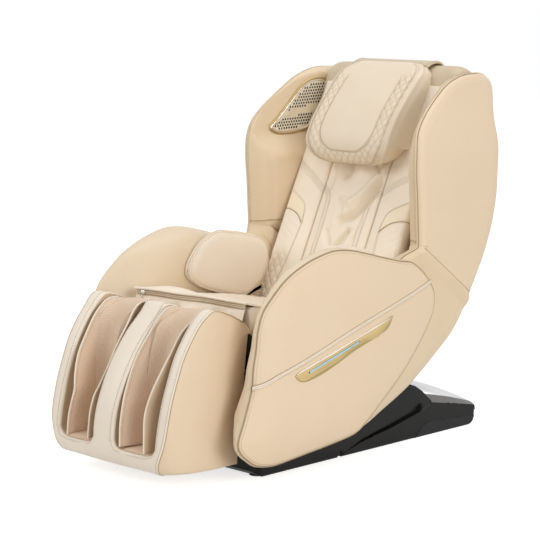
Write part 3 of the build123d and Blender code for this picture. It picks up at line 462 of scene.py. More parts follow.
# near black and darker than the satin round it: painted shade inside the side grooves
hollowPlastic = makeHard("hollowPlastic", "#050505", "#030303", 0.6)
rearPlastic = makeHard("rearPlastic", "#cdbb9f", "#c0ad8f", 0.45, grain=1.0, depth=0.06)
blackPlastic = makeHard("blackPlastic", "#161616", "#0f0f0f", 0.4)
paintedSteel = makeHard("paintedSteel", "#1d1e20", "#161719", 0.45, grain=0.8, depth=0.05)
brightSteel = makeHard("brightSteel", "#c9c9c7", "#b4b4b2", 0.25, metallic=1.0)
zincSteel = makeHard("zincSteel", "#b9bcbf", "#a2a6aa", 0.38, metallic=1.0, grain=6, depth=0.02)
motorCase = makeHard("motorCase", "#3a3c3f", "#303235", 0.5, grain=0.9, depth=0.06)
rollerRubber = makeHard("rollerRubber", "#3d3a36", "#33302c", 0.7, grain=0.8, depth=0.08)
footRubber = makeHard("footRubber", "#191919", "#111111", 0.8, grain=0.8, depth=0.08)

finishes = {
    "textured_leather": grainedLeather, "smooth_leather": smoothLeather, "ribbed_fabric": ribbedFabric,
    "zipper_fabric": tapeFabric, "back_plastic": rearPlastic, "black_gloss_plastic": glossPlastic,
    "grey_plastic": kickPlastic, "black_plastic": blackPlastic, "gold_metal": champagneMetal,
    "painted_steel": paintedSteel, "bright_steel": brightSteel, "zinc_steel": zincSteel,
    "motor_case": motorCase, "roller_rubber": rollerRubber, "foot_rubber": footRubber,
}
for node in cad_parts.values():
    for place in node.material_slots:
        place.material = finishes[place.material.name.split(".")[0]]
print("materials made:", len(bpy.data.materials))


# geometry nodes for what repeats along a seam

def newTree(name, inputs):
    tree = bpy.data.node_groups.new(name, "GeometryNodeTree")
    tree.interface.new_socket("Geometry", in_out="INPUT", socket_type="NodeSocketGeometry")
    for label, kind, value in inputs:
        socket = tree.interface.new_socket(label, in_out="INPUT", socket_type=kind)
        if value is not None:
            socket.default_value = value
    tree.interface.new_socket("Geometry", in_out="OUTPUT", socket_type="NodeSocketGeometry")
    given = tree.nodes.new("NodeGroupInput")
    result = tree.nodes.new("NodeGroupOutput")
    return tree, given.outputs, result


def repeatTree(name, element):
    # copies of one small element at even steps along a line
    tree, given, result = newTree(name, [
        ("Spacing", "NodeSocketFloat", 0.006), ("Scale", "NodeSocketVector", (1, 1, 1)),
        ("Finish", "NodeSocketMaterial", None)])
    curve = addNode(tree, "GeometryNodeMeshToCurve", {"Mesh": given["Geometry"]})
    steps = addNode(tree, "GeometryNodeCurveToPoints", {"Curve": curve.outputs["Curve"],
                                                        "Length": given["Spacing"]}, mode="LENGTH")
    if element == "stitch":
        shape = addNode(tree, "GeometryNodeMeshIcoSphere", {"Radius": 1.0, "Subdivisions": 1})
    else:
        shape = addNode(tree, "GeometryNodeMeshCube", {"Size": (2, 2, 2)})
    copies = addNode(tree, "GeometryNodeInstanceOnPoints", {
        "Points": steps.outputs["Points"], "Instance": shape.outputs["Mesh"],
        "Rotation": steps.outputs["Rotation"], "Scale": given["Scale"]})
    real = addNode(tree, "GeometryNodeRealizeInstances", {"Geometry": copies.outputs["Instances"]})
    finish = addNode(tree, "GeometryNodeSetMaterial", {"Geometry": real.outputs["Geometry"],
                                                       "Material": given["Finish"]})
    tree.links.new(finish.outputs["Geometry"], result.inputs["Geometry"])
    return tree


stitchTree = repeatTree("stitches along a seam", "stitch")
toothTree = repeatTree("teeth along a zipper", "tooth")


def runTree(name, tree, geometry, values):
    # the tree's result as a plain mesh; values go in by socket identifier
    piece = bpy.data.objects.new(name, geometry)
    bpy.context.scene.collection.objects.link(piece)
    modifier = piece.modifiers.new(name, "NODES")
    modifier.node_group = tree
    for item in tree.interface.items_tree:
        if item.in_out == "INPUT" and item.name in values:
            modifier[item.identifier] = values[item.name]
    bpy.context.view_layer.update()
    depsgraph = bpy.context.evaluated_depsgraph_get()
    made = bpy.data.meshes.new_from_object(piece.evaluated_get(depsgraph))
    made.name = name
    piece.modifiers.clear()
    piece.data = made
    made.polygons.foreach_set("use_smooth", np.full(len(made.polygons), True))
    return piece


def lineMesh(name, lines, closed=False):
    points, edges = [], []
    for line in lines:
        first = len(points)
        points += [tuple(point) for point in np.asarray(line, float) * mm]
        edges += [(k, k + 1) for k in range(first, len(points) - 1)]
        if closed:
            edges.append((len(points) - 1, first))
    mesh = bpy.data.meshes.new(name)
    mesh.from_pydata(points, edges, [])
    return mesh


stitch = {"spacing": 6.5, "length": 4.4, "thread": 0.85}  # thread drawn thicker than its real 0.6


def stitchSeams(name, lines, closed=False, finish=sewingThread, size=1.0):
    return runTree(name, stitchTree, lineMesh(name, lines, closed), {
        "Spacing": stitch["spacing"] * size * mm, "Finish": finish,
        "Scale": (stitch["thread"] * size * mm, stitch["thread"] * size * mm,
                  stitch["length"] / 2 * size * mm)})


# studio

studio = {
    "world": 0.45, "aim": (0, 0, 0.5),  # metres, as the lamps' places and sizes are
    "key": {"at": (-2.6, -4.2, 3.4), "size": 3.2, "power": 82},
    "side": {"at": (4.8, -1.1, 1.7), "size": 2.4, "power": 97},
    "top": {"at": (0.2, 0.4, 4.2), "size": 3.0, "power": 52},
}


def seenDirectly(tree):
    # 1 on rays from the camera and in reflections
    rays = addNode(tree, "ShaderNodeLightPath")
    return addNode(tree, "ShaderNodeMath", {0: rays.outputs["Is Camera Ray"],
                                            1: rays.outputs["Is Glossy Ray"]}, operation="MAXIMUM")


def makeStudio():
    scene = bpy.context.scene
    scene.view_settings.view_transform = "Standard"
    for name in ("key", "side", "top"):
        values = studio[name]
        data = bpy.data.lights.new(name, "AREA")
        data.size = values["size"]
        data.energy = values["power"]
        lamp = bpy.data.objects.new(name, data)
        lamp.location = values["at"]
        aim = Vector(values["at"]) - Vector(studio["aim"])
        lamp.rotation_euler = aim.to_track_quat("Z", "Y").to_euler()
        scene.collection.objects.link(lamp)
    world = bpy.data.worlds.new("studio")
    world.use_nodes = True
    scene.world = world
    tree = world.node_tree
    seen = seenDirectly(tree)
    level = addNode(tree, "ShaderNodeMapRange", {"Value": seen.outputs[0], "To Min": studio["world"],
                                                 "To Max": 1.0})
    tree.links.new(level.outputs["Result"], tree.nodes["Background"].inputs["Strength"])
    tree.nodes["Background"].inputs["Color"].default_value = linear("#ffffff")

    paper, tree, shader = newMaterial("studioPaper", Roughness=0.9, Specular_IOR_Level=0.1)
    shader.inputs["Base Color"].default_value = linear("#e6e5e3")
    seen = seenDirectly(tree)
    glow = addNode(tree, "ShaderNodeEmission", {"Color": linear("#ffffff"), "Strength": 0.8})
    half = addNode(tree, "ShaderNodeMath", {0: seen.outputs[0], 1: 0.9}, operation="MULTIPLY")
    white = addNode(tree, "ShaderNodeAddShader", {0: shader.outputs[0], 1: glow.outputs[0]})
    mixed = addNode(tree, "ShaderNodeMixShader", {0: half.outputs[0], 1: shader.outputs[0],
                                                  2: white.outputs[0]})
    tree.links.new(mixed.outputs[0], tree.nodes["Material Output"].inputs["Surface"])
    floor = makeMesh("floor", [(-9000, -9000, 0), (9000, -9000, 0), (9000, 14000, 0),
                               (-9000, 14000, 0)],
                     [(0, 1, 2, 3)], [paper], smooth=False, solid=False)


makeStudio()


# arms: a grained face, a smooth gusset round it and a rounded inner side

arm = {
    "seam": [(-464, 138), (-455, 109), (-430, 86), (-398, 66), (-347, 56), (-302, 56), (-203, 66),
             (-101, 77), (-11, 91), (38, 119), (109, 172), (181, 230), (240, 291), (291, 354),
             (316, 401), (319, 445), (300, 480), (266, 516), (220, 545), (176, 553), (104, 570),
             (33, 589), (-37, 605), (-105, 610), (-172, 598), (-225, 581), (-283, 553), (-334, 513),
             (-373, 472), (-391, 424), (-398, 375), (-408, 326), (-414, 272), (-442, 194)],
    "middle": (-70, 330), "steps": 360, "face": 364, "crown": 4,
    "draw": (8, 24), "roll": 110,  # the face rolls in to the seam, more at the front, over this width
    # further in than this x, by height, the front of the arm slopes back
    "lean": [(80, 352), (140, 346), (200, 322), (300, 338), (380, 346), (470, 350), (560, 338)],
    "inner": 236.6, "clear": 790,  # the inner side keeps inside this radius of the cradle line
    "piping": [(-394, 272), (-350, 283), (-311, 299), (-199, 331), (-18, 388), (162, 440), (307, 482)],
    "pipe": 2.3,
}


def towardsMiddle(line, middle, share):
    return np.array(middle) + (line - np.array(middle)) * share


def withX(line, x):
    return np.column_stack([np.broadcast_to(x, len(line)), line])


def armDraw(y):
    rear, front = arm["draw"]
    return front + (rear - front) * eased(y, -250, 100)


def armSeamLine():
    seam = smoothLine(arm["seam"], arm["steps"], closed=True)
    draw = armDraw(seam[:, 0])
    return seam + np.column_stack([draw, -0.22 * draw])


armSeam = armSeamLine()
armOut = outwards(armSeam)


def armFace(points):
    # x of the crowned face at these (y, z); it rolls in to the seam
    away = np.linalg.norm((points - np.array(arm["middle"])) / np.array([420, 290]), axis=-1)
    near = np.clip(lineDistance(points, np.vstack([armSeam, armSeam[:1]])) / arm["roll"], 0, 1)
    return arm["face"] + arm["crown"] * np.clip(1 - away**2, 0, 1) - armDraw(points[:, 0]) * (1 - near)**2


def makeArm():
    seam, out, draw = armSeam, armOut, armDraw(armSeam[:, 0])
    rings, bands = [], []

    def ring(line, x, band):
        near = np.hypot(line[:, 0] - cradle["y"], line[:, 1] - cradle["z"])
        if np.max(np.broadcast_to(x, len(line))) < 275:
            scale = np.minimum(1, arm["clear"] / near)[:, None]
            line = np.array([cradle["y"], cradle["z"]]) + (line - [cradle["y"], cradle["z"]]) * scale
        rings.append(withX(line, x))
        bands.append(band)

    rim = seam - out * 14
    for share in (0.04, 0.12, 0.22, 0.33, 0.44, 0.55, 0.66, 0.76, 0.85, 0.92, 0.97, 1.0):
        line = towardsMiddle(rim, arm["middle"], share)
        ring(line, armFace(line), 0)
    for inset, x in ((10, 363.7), (7, 363.2), (4.6, 362.5), (3, 361.6), (1.9, 360.6), (1.2, 359.4)):
        ring(seam - out * inset, x - draw * (1 - inset / arm["roll"])**2, 0)
    for outset, x in ((-0.6, 358.4), (0.2, 358.7), (1.2, 359.2), (2.2, 358), (3.2, 354.5), (4.2, 349),
                      (4.8, 342), (5, 335), (4.6, 326), (4, 316), (3, 304), (1, 290), (-2, 276),
                      (-8, 262),
                      (-17, 251), (-32, 243), (-52, 239), (-74, arm["inner"])):
        line = seam + out * outset
        within = np.maximum(0, np.interp(line[:, 1], *zip(*arm["lean"])) - x)
        line = line + np.column_stack([(1 - eased(line[:, 0], -330, 60)) * within,
                                       -0.17 * within * eased(out[:, 1], 0.2, 0.9)])
        ring(line, x - draw * eased(x, 240, 330), 1)
    for share in (0.55, 0.3, 0.05):
        ring(towardsMiddle(line, arm["middle"], share), arm["inner"], 1)
    piece = ringSolid("arm", rings, [grainedLeather, gussetLeather], bands[1:])
    places = placesOf(piece)
    near = lineDistance(places[:, 1:], np.vstack([seam, seam[:1]]))
    mark = np.where(places[:, 0] > 352 - armDraw(places[:, 1]), 1 - eased(near, 0.7, 3.2), 0)
    markSeamShade(piece, mark * 0.85)
    return piece


def makePiping():
    # two rolled cords side by side across the face, with a stitched line above them
    line = smoothLine(arm["piping"], 150)
    ahead = np.gradient(line, axis=0)
    ahead /= np.linalg.norm(ahead, axis=1)[:, None]
    up = np.column_stack([-ahead[:, 1], ahead[:, 0]])
    cords = []
    for side in (-1, 1):
        run = line + up * side * arm["pipe"]
        cords.append(tubeAlong("cord", withX(run, armFace(run) + 0.3), arm["pipe"], pipingLeather))
    rows = [line + up * lift for lift in (-arm["pipe"] * 2 - 2.6, arm["pipe"] * 2 + 2.6)]
    seams = stitchSeams("rows", [withX(row, armFace(row) + 0.25) for row in rows], finish=paleThread)
    edges = [line + up * side * (arm["pipe"] * 2 + 0.5) for side in (-1, 1)]
    shade = [tubeAlong("shade", withX(edge, armFace(line) - 0.1), 0.75, sewingThread, sides=6)
             for edge in edges]
    return joined("arm_piping", cords + shade + [seams])


bothSides(makeArm(), "arm", "shell", "textured_leather", "arm_panel", "arm_core", fill=0.8)
bothSides(makePiping(), "arm_piping", "shell", "smooth_leather")
armStitches = [withX(armSeam - armOut * 6.5, 363.2 - armDraw(armSeam[:, 0]) * (1 - 6.5 / arm["roll"])**2)]
bothSides(stitchSeams("arm_stitches", armStitches, closed=True), "arm_stitches", "shell",
          "textured_leather")
gussetStitches = [withX(armSeam + armOut * 3.0, 354.3 - armDraw(armSeam[:, 0]))]
bothSides(stitchSeams("gusset_stitches", gussetStitches, closed=True, finish=paleThread),
          "gusset_stitches", "shell", "smooth_leather")


# the metal trim on each arm, with its light strip

trim = {
    "top": [(-258, 291), (-235, 302), (-100, 339), (129, 405)],
    "low": [(-258, 288), (-249, 279), (-233, 271), (-200, 271), (-126, 288), (-19, 327), (89, 362),
            (118, 382), (129, 405)],
    "ridge": [(-258, 289), (-240, 276), (-218, 274), (-173, 287), (-100, 308), (-37, 336), (18, 350),
              (70, 356), (129, 405)],
    "light": [(-209, 293), (-8, 351)], "back": 363, "front": 371, "steps": 110,
}


def makeTrim():
    top = smoothLine(trim["top"], trim["steps"])
    ridge = smoothLine(trim["ridge"], trim["steps"])
    low = smoothLine(trim["low"], trim["steps"])
    thin = np.sin(np.linspace(0, math.pi, trim["steps"]))**0.35
    columns = []
    for share, x in ((0, -4), (0, -1.0), (0.04, 0.6), (0.09, 0.9), (0.14, 0.1), (0.5, -0.6), (0.86, -0.4),
                     (0.97, 0.6)):
        columns.append(withX(top + (ridge - top) * share, trim["front"] + x * thin))
    for share, x in ((0.04, 0.4), (0.16, -1.0), (0.5, -2.2), (0.85, -3.0), (1, -4)):
        columns.append(withX(ridge + (low - ridge) * share, trim["front"] + x * thin))
    columns.append(withX(low, trim["back"]))
    columns.append(withX(top, trim["back"]))
    points = np.stack(columns, axis=1)
    across = len(columns)
    faces = gridFaces(trim["steps"], across, closed=True)
    # the top edge takes the whiter metal as a painted highlight line, the lower face the dark gold as
    # painted shade
    bands = [1 if c < 3 else (2 if 8 <= c < 12 else 0) for c in range(across)] * (trim["steps"] - 1)
    faces += [tuple(range(across)), tuple((trim["steps"] - 1) * across + c for c in range(across))]
    bands += [0, 0]
    metals = [champagneMetal, brightMetal, darkGoldMetal]
    return makeMesh("trim", points.reshape(-1, 3), faces, metals, bands)


def makeLight():
    # a row of short bars over a pale strip that glows, in a dark slot
    start, end = (np.array(point, float) for point in trim["light"])
    line = evenLine([start, end], 80)
    slot = tubeAlong("slot", withX(line, trim["front"] - 0.4), 2.9, blackPlastic, flat=0.3, up=(1, 0, 0))
    glow = tubeAlong("glow", withX(line[1:-1], trim["front"] + 0.3), 2.2, lightStrip, flat=0.3,
                     up=(1, 0, 0))
    bars = runTree("bars", toothTree, lineMesh("bars", [withX(line[2:-2], trim["front"] + 1.0)]),
                   {"Spacing": 3.6 * mm, "Finish": lightStrip, "Scale": (2.0 * mm, 0.25 * mm, 0.9 * mm)})
    return joined("light", [slot, glow, bars])


bothSides(makeTrim(), "trim", "shell", "gold_metal", "trim")
bothSides(makeLight(), "trim_light", "shell", "gold_metal")


# the round pads on the arms' inner sides

pad = {
    "outline": [(-101, 494), (-56, 560), (12, 594), (69, 590), (129, 579), (189, 561), (217, 532),
                (219, 488), (190, 434), (128, 398), (69, 403), (9, 421), (-67, 452)],
    "middle": (66, 496), "steps": 220, "face": 209, "back": 236, "cord": 2.6,
}


def makeArmPad():
    edge = smoothLine(pad["outline"], pad["steps"], closed=True)
    out = outwards(edge)
    rings, bands = [], []
    rim = edge - out * 22
    for share in (0.05, 0.2, 0.4, 0.6, 0.8, 1.0):
        line = towardsMiddle(rim, pad["middle"], share)
        dent = 1.6 * np.exp(-((line[:, 0] + 20) / 38)**2 - ((line[:, 1] - 540) / 32)**2)
        rings.append(withX(line, pad["face"] - 3 * (1 - share**2) + dent))
        bands.append(0)
    for inset, x in ((14, 210.6), (8, 213), (4, 216), (1.5, 219), (0.6, 221.5), (0.2, 223), (1.0, 225),
                     (-1.6, 226.5), (-3, 229), (-3, 233), (-1.5, pad["back"])):
        rings.append(withX(edge - out * inset, x))
        bands.append(0)
    for share in (0.6, 0.1):
        rings.append(withX(towardsMiddle(edge, pad["middle"], share), pad["back"]))
        bands.append(0)
    piece = ringSolid("arm_pad", rings, [smoothLeather], bands[1:])
    places = placesOf(piece)
    mark = np.where(np.abs(places[:, 0] - 224) < 1.6, 0.9, 0)
    markSeamShade(piece, mark)
    cords = [tubeAlong("cord", withX(edge + out * 0.8, 221.2), pad["cord"], pipingLeather, closed=True),
             tubeAlong("cord", withX(edge + out * 3.4, 229.5), pad["cord"] * 0.8, pipingLeather,
                       closed=True)]
    rows = stitchSeams("rows", [withX(edge - out * 6, 214.2)], closed=True, finish=paleThread, size=0.9)
    return piece, joined("arm_pad_cords", cords + [rows])


padPiece, padCords = makeArmPad()
bothSides(padPiece, "arm_pad", "shell", "smooth_leather", "arm_pad", fill=0.7)
bothSides(padCords, "arm_pad_cords", "shell", "smooth_leather")
print("arms made")


# wings and lower sides: an outer face, a stitched strip in front and a smooth inner face

wing = {
    "front": [(264, 588), (262, 646), (258, 726), (253, 790), (255, 856), (267, 902), (299, 951),
              (340, 996), (388, 1036), (450, 1059), (515, 1063), (558, 1052)],
    "back": [(588, 1022), (604, 943), (614, 861), (613, 779), (607, 697), (588, 617), (555, 537),
             (514, 465), (490, 424)],
    "middle": (420, 800), "seam": 351, "narrow": 38,
    # per ring: outset and x from the seam at the front, then at the back; x is towards the outside
    "edge": [(-16, 8.3, -27, 6.4), (-11, 7, -15, 3.6), (-7, 4.8, -6, 0), (-4.4, 2.4, 0, -3.4),
             (-2.6, 0, 3, -6), (-1.6, -2.6, 5, -8), (-1.0, -5.2, 8, -12), (-0.4, -7.2, 10, -15),
             (0.6, -7.4, 12, -18), (1.6, -7.0, 13.6, -22), (2.4, -9, 15, -26), (2.6, -13, 16.6, -32),
             (1.8, -20, 18, -40), (-1, -29, 19, -47), (-5.5, -38, 19.5, -54), (-11.5, -47, 19, -60),
             (-18.5, -54, 18, -66), (-27, -60, 16, -70), (-38, -65, 12, -74)],
    "shares": (0.93, 0.86, 0.78, 0.68, 0.56, 0.42, 0.26, 0.1),
}
lower = {
    "front": [(264, 588), (255, 574), (238, 562), (215, 552), (185, 540), (155, 522)],
    "hidden": [(100, 420), (60, 250), (50, 130), (57, 96)],
    "under": [(86, 101), (144, 127), (217, 160), (261, 183), (315, 218), (380, 266), (441, 315),
              (485, 370), (494, 400), (490, 424)],
    "middle": (300, 420),
}


def seamX(points):
    # the wings draw in towards their tops, and the lower sides under the arms and towards the floor
    y, z = points[..., 0], points[..., 1]
    below = (264 - y) * 0.587 + (588 - z) * 0.809
    tuck = 22 * eased(below, 2, 44)
    return wing["seam"] - wing["narrow"] * eased(z, 830, 1075) - tuck - 8 * eased(-z, -380, -120)


def drawnIn(points):
    # the outline moves with the seam as it draws in
    share = eased(points[:, 1], 900, 1075)
    return points + np.column_stack([share * 41, -share * 2.6])


def innerX(points, line):
    # x of the inner face: it sweeps in from the strip to the back's edge, and is flat behind the speaker
    depth = lineDistance(points, line)
    sweep = np.interp(depth, [20, 32, 50, 80, 120, 160, 200], [286, 280, 272, 262, 253, 246, 242])
    flat = np.interp(points[:, 0], [262, 290, 320, 528, 600], [319, 316, 311, 262, 259])
    high = eased(points[:, 1], 790, 875)
    return sweep * (1 - high) + flat * high


def sideSolid(name, parts, middle, material, nearLine):
    # parts: lines with their normals and back share, or a number of steps for a straight cut between them
    def whole(place):
        # one ring: the lines moved by the given rule, and the cuts drawn between their ends
        moved = [None if isinstance(part, int) else place(*part) for part in parts]
        for k, part in enumerate(parts):
            if isinstance(part, int):
                start, end = moved[k - 1][-1], moved[(k + 1) % len(parts)][0]
                moved[k] = start + (end - start) * np.linspace(0, 1, part + 2)[1:-1, None]
        return np.vstack(moved)

    def rimPlace(line, normal, share):
        inset = 22 + 16 * share
        return withX(line - normal * inset[:, None], 0)

    rings, bands = [], []
    rim = whole(rimPlace)[:, 1:]
    for share in (0.04, 0.16, 0.3, 0.45, 0.6, 0.74, 0.86, 0.93, 0.97, 0.985, 0.995, 1.0):
        line = towardsMiddle(rim, middle, share)
        rings.append(withX(line, seamX(line) + 9 + 4 * (1 - share**2)**2))
        bands.append(0)
    rear = whole(lambda line, normal, share: withX(line, share))[:, 0] > 0.5
    grid = [np.zeros(len(rim), int) for ring in rings]
    for k, (outFront, xFront, outBack, xBack) in enumerate(wing["edge"]):
        def edgePlace(line, normal, share):
            outset = outFront + (outBack - outFront) * share
            moved = line + normal * outset[:, None]
            x = seamX(line) + xFront + (xBack - xFront) * share
            if k >= 12:
                x = np.maximum(x, innerX(moved, nearLine))
            return withX(moved, x)

        rings.append(whole(edgePlace))
        grid.append(np.where(rear | (k <= 6), 0, 1))
    last = rings[-1][:, 1:]
    for share in wing["shares"]:
        line = towardsMiddle(last, middle, share)
        rings.append(withX(line, innerX(line, nearLine)))
        grid.append(np.ones(len(rim), int))
    # band 1, the strip and the inner face, takes the darker copy: painted shade
    piece = ringSolid(name, rings, [material, sideLeather], np.array(grid[1:]))
    places = placesOf(piece)
    groove = seamX(places[:, 1:]) - 7.3
    front = lineDistance(places[:, 1:], nearLine) < 3
    mark = np.where(front & (np.abs(places[:, 0] - groove) < 1.2), 0.8, 0)
    markSeamShade(piece, mark)
    return piece


def outwardsOpen(line):
    # normals of an open line, on its left as it runs
    ahead = np.gradient(line, axis=0)
    ahead /= np.linalg.norm(ahead, axis=1)[:, None]
    return np.column_stack([-ahead[:, 1], ahead[:, 0]])


frontLine = drawnIn(smoothLine(lower["front"][::-1] + wing["front"][1:] + wing["back"], 520))
frontNormal = outwardsOpen(frontLine)
corner = int(np.argmin(np.linalg.norm(frontLine - np.array(wing["front"][0]), axis=1)))
topEnd = int(np.argmin(np.linalg.norm(frontLine - drawnIn(np.array([wing["front"][-1]], float)), axis=1)))
wingCut = evenLine([frontLine[-1], frontLine[corner]], 80)


def makeSides():
    share = eased(np.arange(len(frontLine)), topEnd - 22, topEnd + 22)
    nearLine = frontLine[:topEnd + 1]
    upper = (frontLine[corner:], frontNormal[corner:], share[corner:])
    piece = sideSolid("wing", [upper, 78], wing["middle"], grainedLeather, nearLine)
    bothSides(piece, "wing", "shell", "textured_leather", "wing", fill=0.7)
    run, side = frontLine[corner + 2:topEnd - 6], frontNormal[corner + 2:topEnd - 6]
    rows = [withX(run + side * 2.7, seamX(run) - 13), withX(run + side * 2.4, seamX(run) - 17.5)]
    bothSides(stitchSeams("wing_stitches", rows), "wing_stitches", "shell", "textured_leather")

    under = smoothLine([lower["front"][-1]] + lower["hidden"] + lower["under"], 220)
    under[-1] = frontLine[-1]
    turned = -outwardsOpen(under) if outwardsOpen(under)[110, 1] > 0 else outwardsOpen(under)
    # the last stretch turns its edge to meet the wing's
    blend = eased(np.arange(220), 190, 214)[:, None]
    turned = turned * (1 - blend) + frontNormal[-1] * blend
    turned /= np.linalg.norm(turned, axis=1)[:, None]
    fore = frontLine[:corner + 1][::-1], frontNormal[:corner + 1][::-1], np.zeros(corner + 1)
    hind = under[1:], turned[1:], 0.9 + 0.1 * blend[1:, 0]
    # the lower side is all the darker copy: painted shade
    piece = sideSolid("lower", [fore, hind, 78], lower["middle"], sideLeather, nearLine)
    bothSides(piece, "lower_side", "shell", "smooth_leather", "lower_side", fill=0.6)
    run, side = frontLine[4:corner - 1], frontNormal[4:corner - 1]
    rows = [withX(run + side * 2.7, seamX(run) - 13)]
    # the seam that crosses the inner faces, level with the arms' tops
    cross = np.array([(261 + t * 165, 598 + 6 * math.sin(t * math.pi)) for t in np.linspace(0, 1, 60)])
    rounding = np.interp(cross[:, 0] - 264, [-2.6, 1, 5.5, 11.5, 18.5, 27, 38],
                         [338, 322, 313, 304, 297, 291, 286])
    innerFace = innerX(cross, nearLine)
    face = np.where(cross[:, 0] < 302, np.maximum(rounding, innerFace), innerFace)
    rows.append(withX(cross - [0, 3], face - 1.6))
    cut = wingCut[5:-3]
    lines = [tubeAlong("line", withX(cross, face - 0.8), 0.9, sewingThread, sides=6),
             tubeAlong("line", withX(cut, seamX(cut) + 9.1), 0.8, sewingThread, sides=6)]
    bothSides(joined("lower_stitches", lines + [stitchSeams("rows", rows)]), "lower_stitches", "shell",
              "smooth_leather")


makeSides()


# speaker grilles on the wings' inner faces

grille = {
    "outline": [(270, 897), (283, 880), (310, 871), (350, 869), (394, 872), (437, 879), (468, 912),
                (528, 988), (529, 1012), (512, 1027), (480, 1032), (439, 1027), (405, 1010),
                (349, 962), (305, 924)],
    "middle": (410, 950), "steps": 220, "field": 258.8,
    "pitch": (10.8, 10.4), "hole": 3.5, "band": [(300, 922), (520, 950)], "bandWidth": 22,
    "slant": 50,  # the plate's front tip stands this much further out than its rear
}


def slanted(piece):
    # the flat plate turned onto the wing's oblique inner face
    for vertex in piece.data.vertices:
        x, y, z = vertex.co / mm
        out = grille["slant"] * min(1.05, max(0, (528 - y) / 258))
        vertex.co = Vector((x + out, y + out, z - 0.215 * out)) * mm
    return piece


def makeGrille():
    edge = smoothLine(grille["outline"], grille["steps"], closed=True)
    out = outwards(edge)
    rings, bands = [], []
    # the rim is champagne; the bevel inside it takes the whiter metal, a painted highlight; the field is
    # the pale metal
    for outset, x, band in ((3.2, 266, 0), (3.2, 258.6, 0), (2.4, 256.6, 0), (0.8, 255.9, 0),
                            (-2.4, 256.3, 0), (-4.0, 257.2, 0), (-4.6, 256.6, 2), (-6.2, 256.2, 2),
                            (-9.5, 258.2, 2),
                            (-11, 258.8, 1), (-13, 258.8, 1)):
        rings.append(withX(edge + out * outset, x))
        bands.append(band)
    inner = edge - out * 13
    for share in (0.8, 0.5, 0.2):
        rings.append(withX(towardsMiddle(inner, grille["middle"], share), grille["field"]))
        bands.append(1)
    plate = ringSolid("plate", rings, [champagneMetal, paleMetal, brightMetal], bands[1:])
    # the holes: short cups, black inside as painted shade and with a whiter lip as a painted highlight,
    # in two fields parted by a smooth band
    spots = []
    across, up = grille["pitch"]
    for row in range(40):
        for column in range(60):
            spots.append((240 + (column + 0.5 * (row % 2)) * across, 860 + row * up * 0.866))  # staggered
    spots = np.array(spots)
    fieldLine = edge - out * 15
    spots = spots[inside(spots, fieldLine)]
    start, end = (np.array(p, float) for p in grille["band"])
    ahead = (end - start) / np.linalg.norm(end - start)
    off = (spots - start) @ np.array([-ahead[1], ahead[0]])
    spots = spots[np.abs(off) > grille["bandWidth"] / 2]
    turn = np.linspace(0, 2 * math.pi, 10, endpoint=False)
    points, faces, kinds = [], [], []
    for spot in spots:
        first = len(points)
        for reach, x in ((1.35, 258.9), (1.2, 258.3), (1.0, 258.2), (0.86, 258.75)):
            for a in turn:
                points.append((x, spot[0] + math.cos(a) * reach * grille["hole"],
                               spot[1] + math.sin(a) * reach * grille["hole"]))
        faces += gridFaces(4, 10, closed=True, start=first)
        faces += [tuple(range(first + 30, first + 40)), tuple(range(first, first + 10))]
        kinds += [0] * 20 + [1] * 11 + [0]  # the lip is the painted highlight, the black cup the painted shade
    holes = makeMesh("holes", points, faces, [brightMetal, blackPlastic], kinds)
    return joined("speaker_grille", [plate, holes])


bothSides(slanted(makeGrille()), "speaker_grille", "shell", "gold_metal", "speaker_grille")
turn = np.linspace(0, 2 * math.pi, 40, endpoint=False)
cone = [withX(np.column_stack([400 + reach * np.cos(turn), 950 + reach * np.sin(turn)]), x)
        for reach, x in ((6, 264), (20, 267), (30, 264), (34, 264), (34, 268), (24, 290), (24, 302),
                         (4, 302))]
bothSides(slanted(ringSolid("driver", cone, [blackPlastic])), "speaker_driver", "shell", "black_plastic",
          "speaker_driver")
print("wings made")


# back pads: a soft centre with folds, and side pads with chevrons, inlays and low quilting

back = {
    "low": -165, "high": 545, "behind": -40, "step": 3.2,
    "centre": 116, "sideInner": 119, "sideOuter": 249, "round": 9,
    "chevron": [(256, 281), (204, 253), (162, 229), (112, 194)],
    "chevronLow": [(256, 273), (204, 245), (162, 221), (112, 186)],
    "inlay": [(256, 186), (238, 180), (210, 166), (174, 144), (161, 120), (157, 80), (176, 98),
              (198, 111), (226, 119), (256, 121)],
    "seamLine": [(157, 80), (163, 27), (171, -35), (180, -93), (184, -140)],
    "centreLines": [[(120, 203), (104, 190), (88, 166), (83, 97), (82, 29), (86, -60), (92, -140)],
                    [(112, 206), (98, 193), (80, 168), (75, 97), (74, 29), (78, -60), (84, -140)]],
    # folds of the centre: line, depth and half width
    "folds": [([(119, 251), (94, 218), (69, 172), (36, 124), (-12, 102)], 15, 15),
              ([(140, 300), (100, 270), (52, 196), (10, 158)], -7, 15),
              ([(-43, 330), (-43, 256)], 13, 26), ([(20, 330), (16, 262)], -5, 22),
              ([(33, 69), (1, 17), (-12, -30)], 9, 12), ([(62, 70), (42, 20), (30, -40)], -5, 14),
              ([(-30, 170), (-6, 164), (-4, 118), (-30, 86)], -2.6, 7), ([(-42, 160), (-22, 150)], 3, 10),
              ([(-96, 300), (-86, 250), (-92, 200)], 4, 9), ([(60, 290), (92, 262)], 5, 8),
              ([(-50, 60), (-20, 0), (-36, -60)], 3.4, 13), ([(-70, -20), (20, -60)], 3, 9)],
}


def edgeDrop(distance, radius):
    # how far a rounded edge falls at this distance from it
    d = np.clip(radius - distance, 0, radius)
    return radius - np.sqrt(np.maximum(radius**2 - d**2, 0))


def grooves(points, lines, depth, width):
    cut = np.zeros(len(points))
    for line in lines:
        near = lineDistance(points, np.array(line, float))
        cut = np.maximum(cut, depth * np.exp(-(near / width)**2))
    return cut


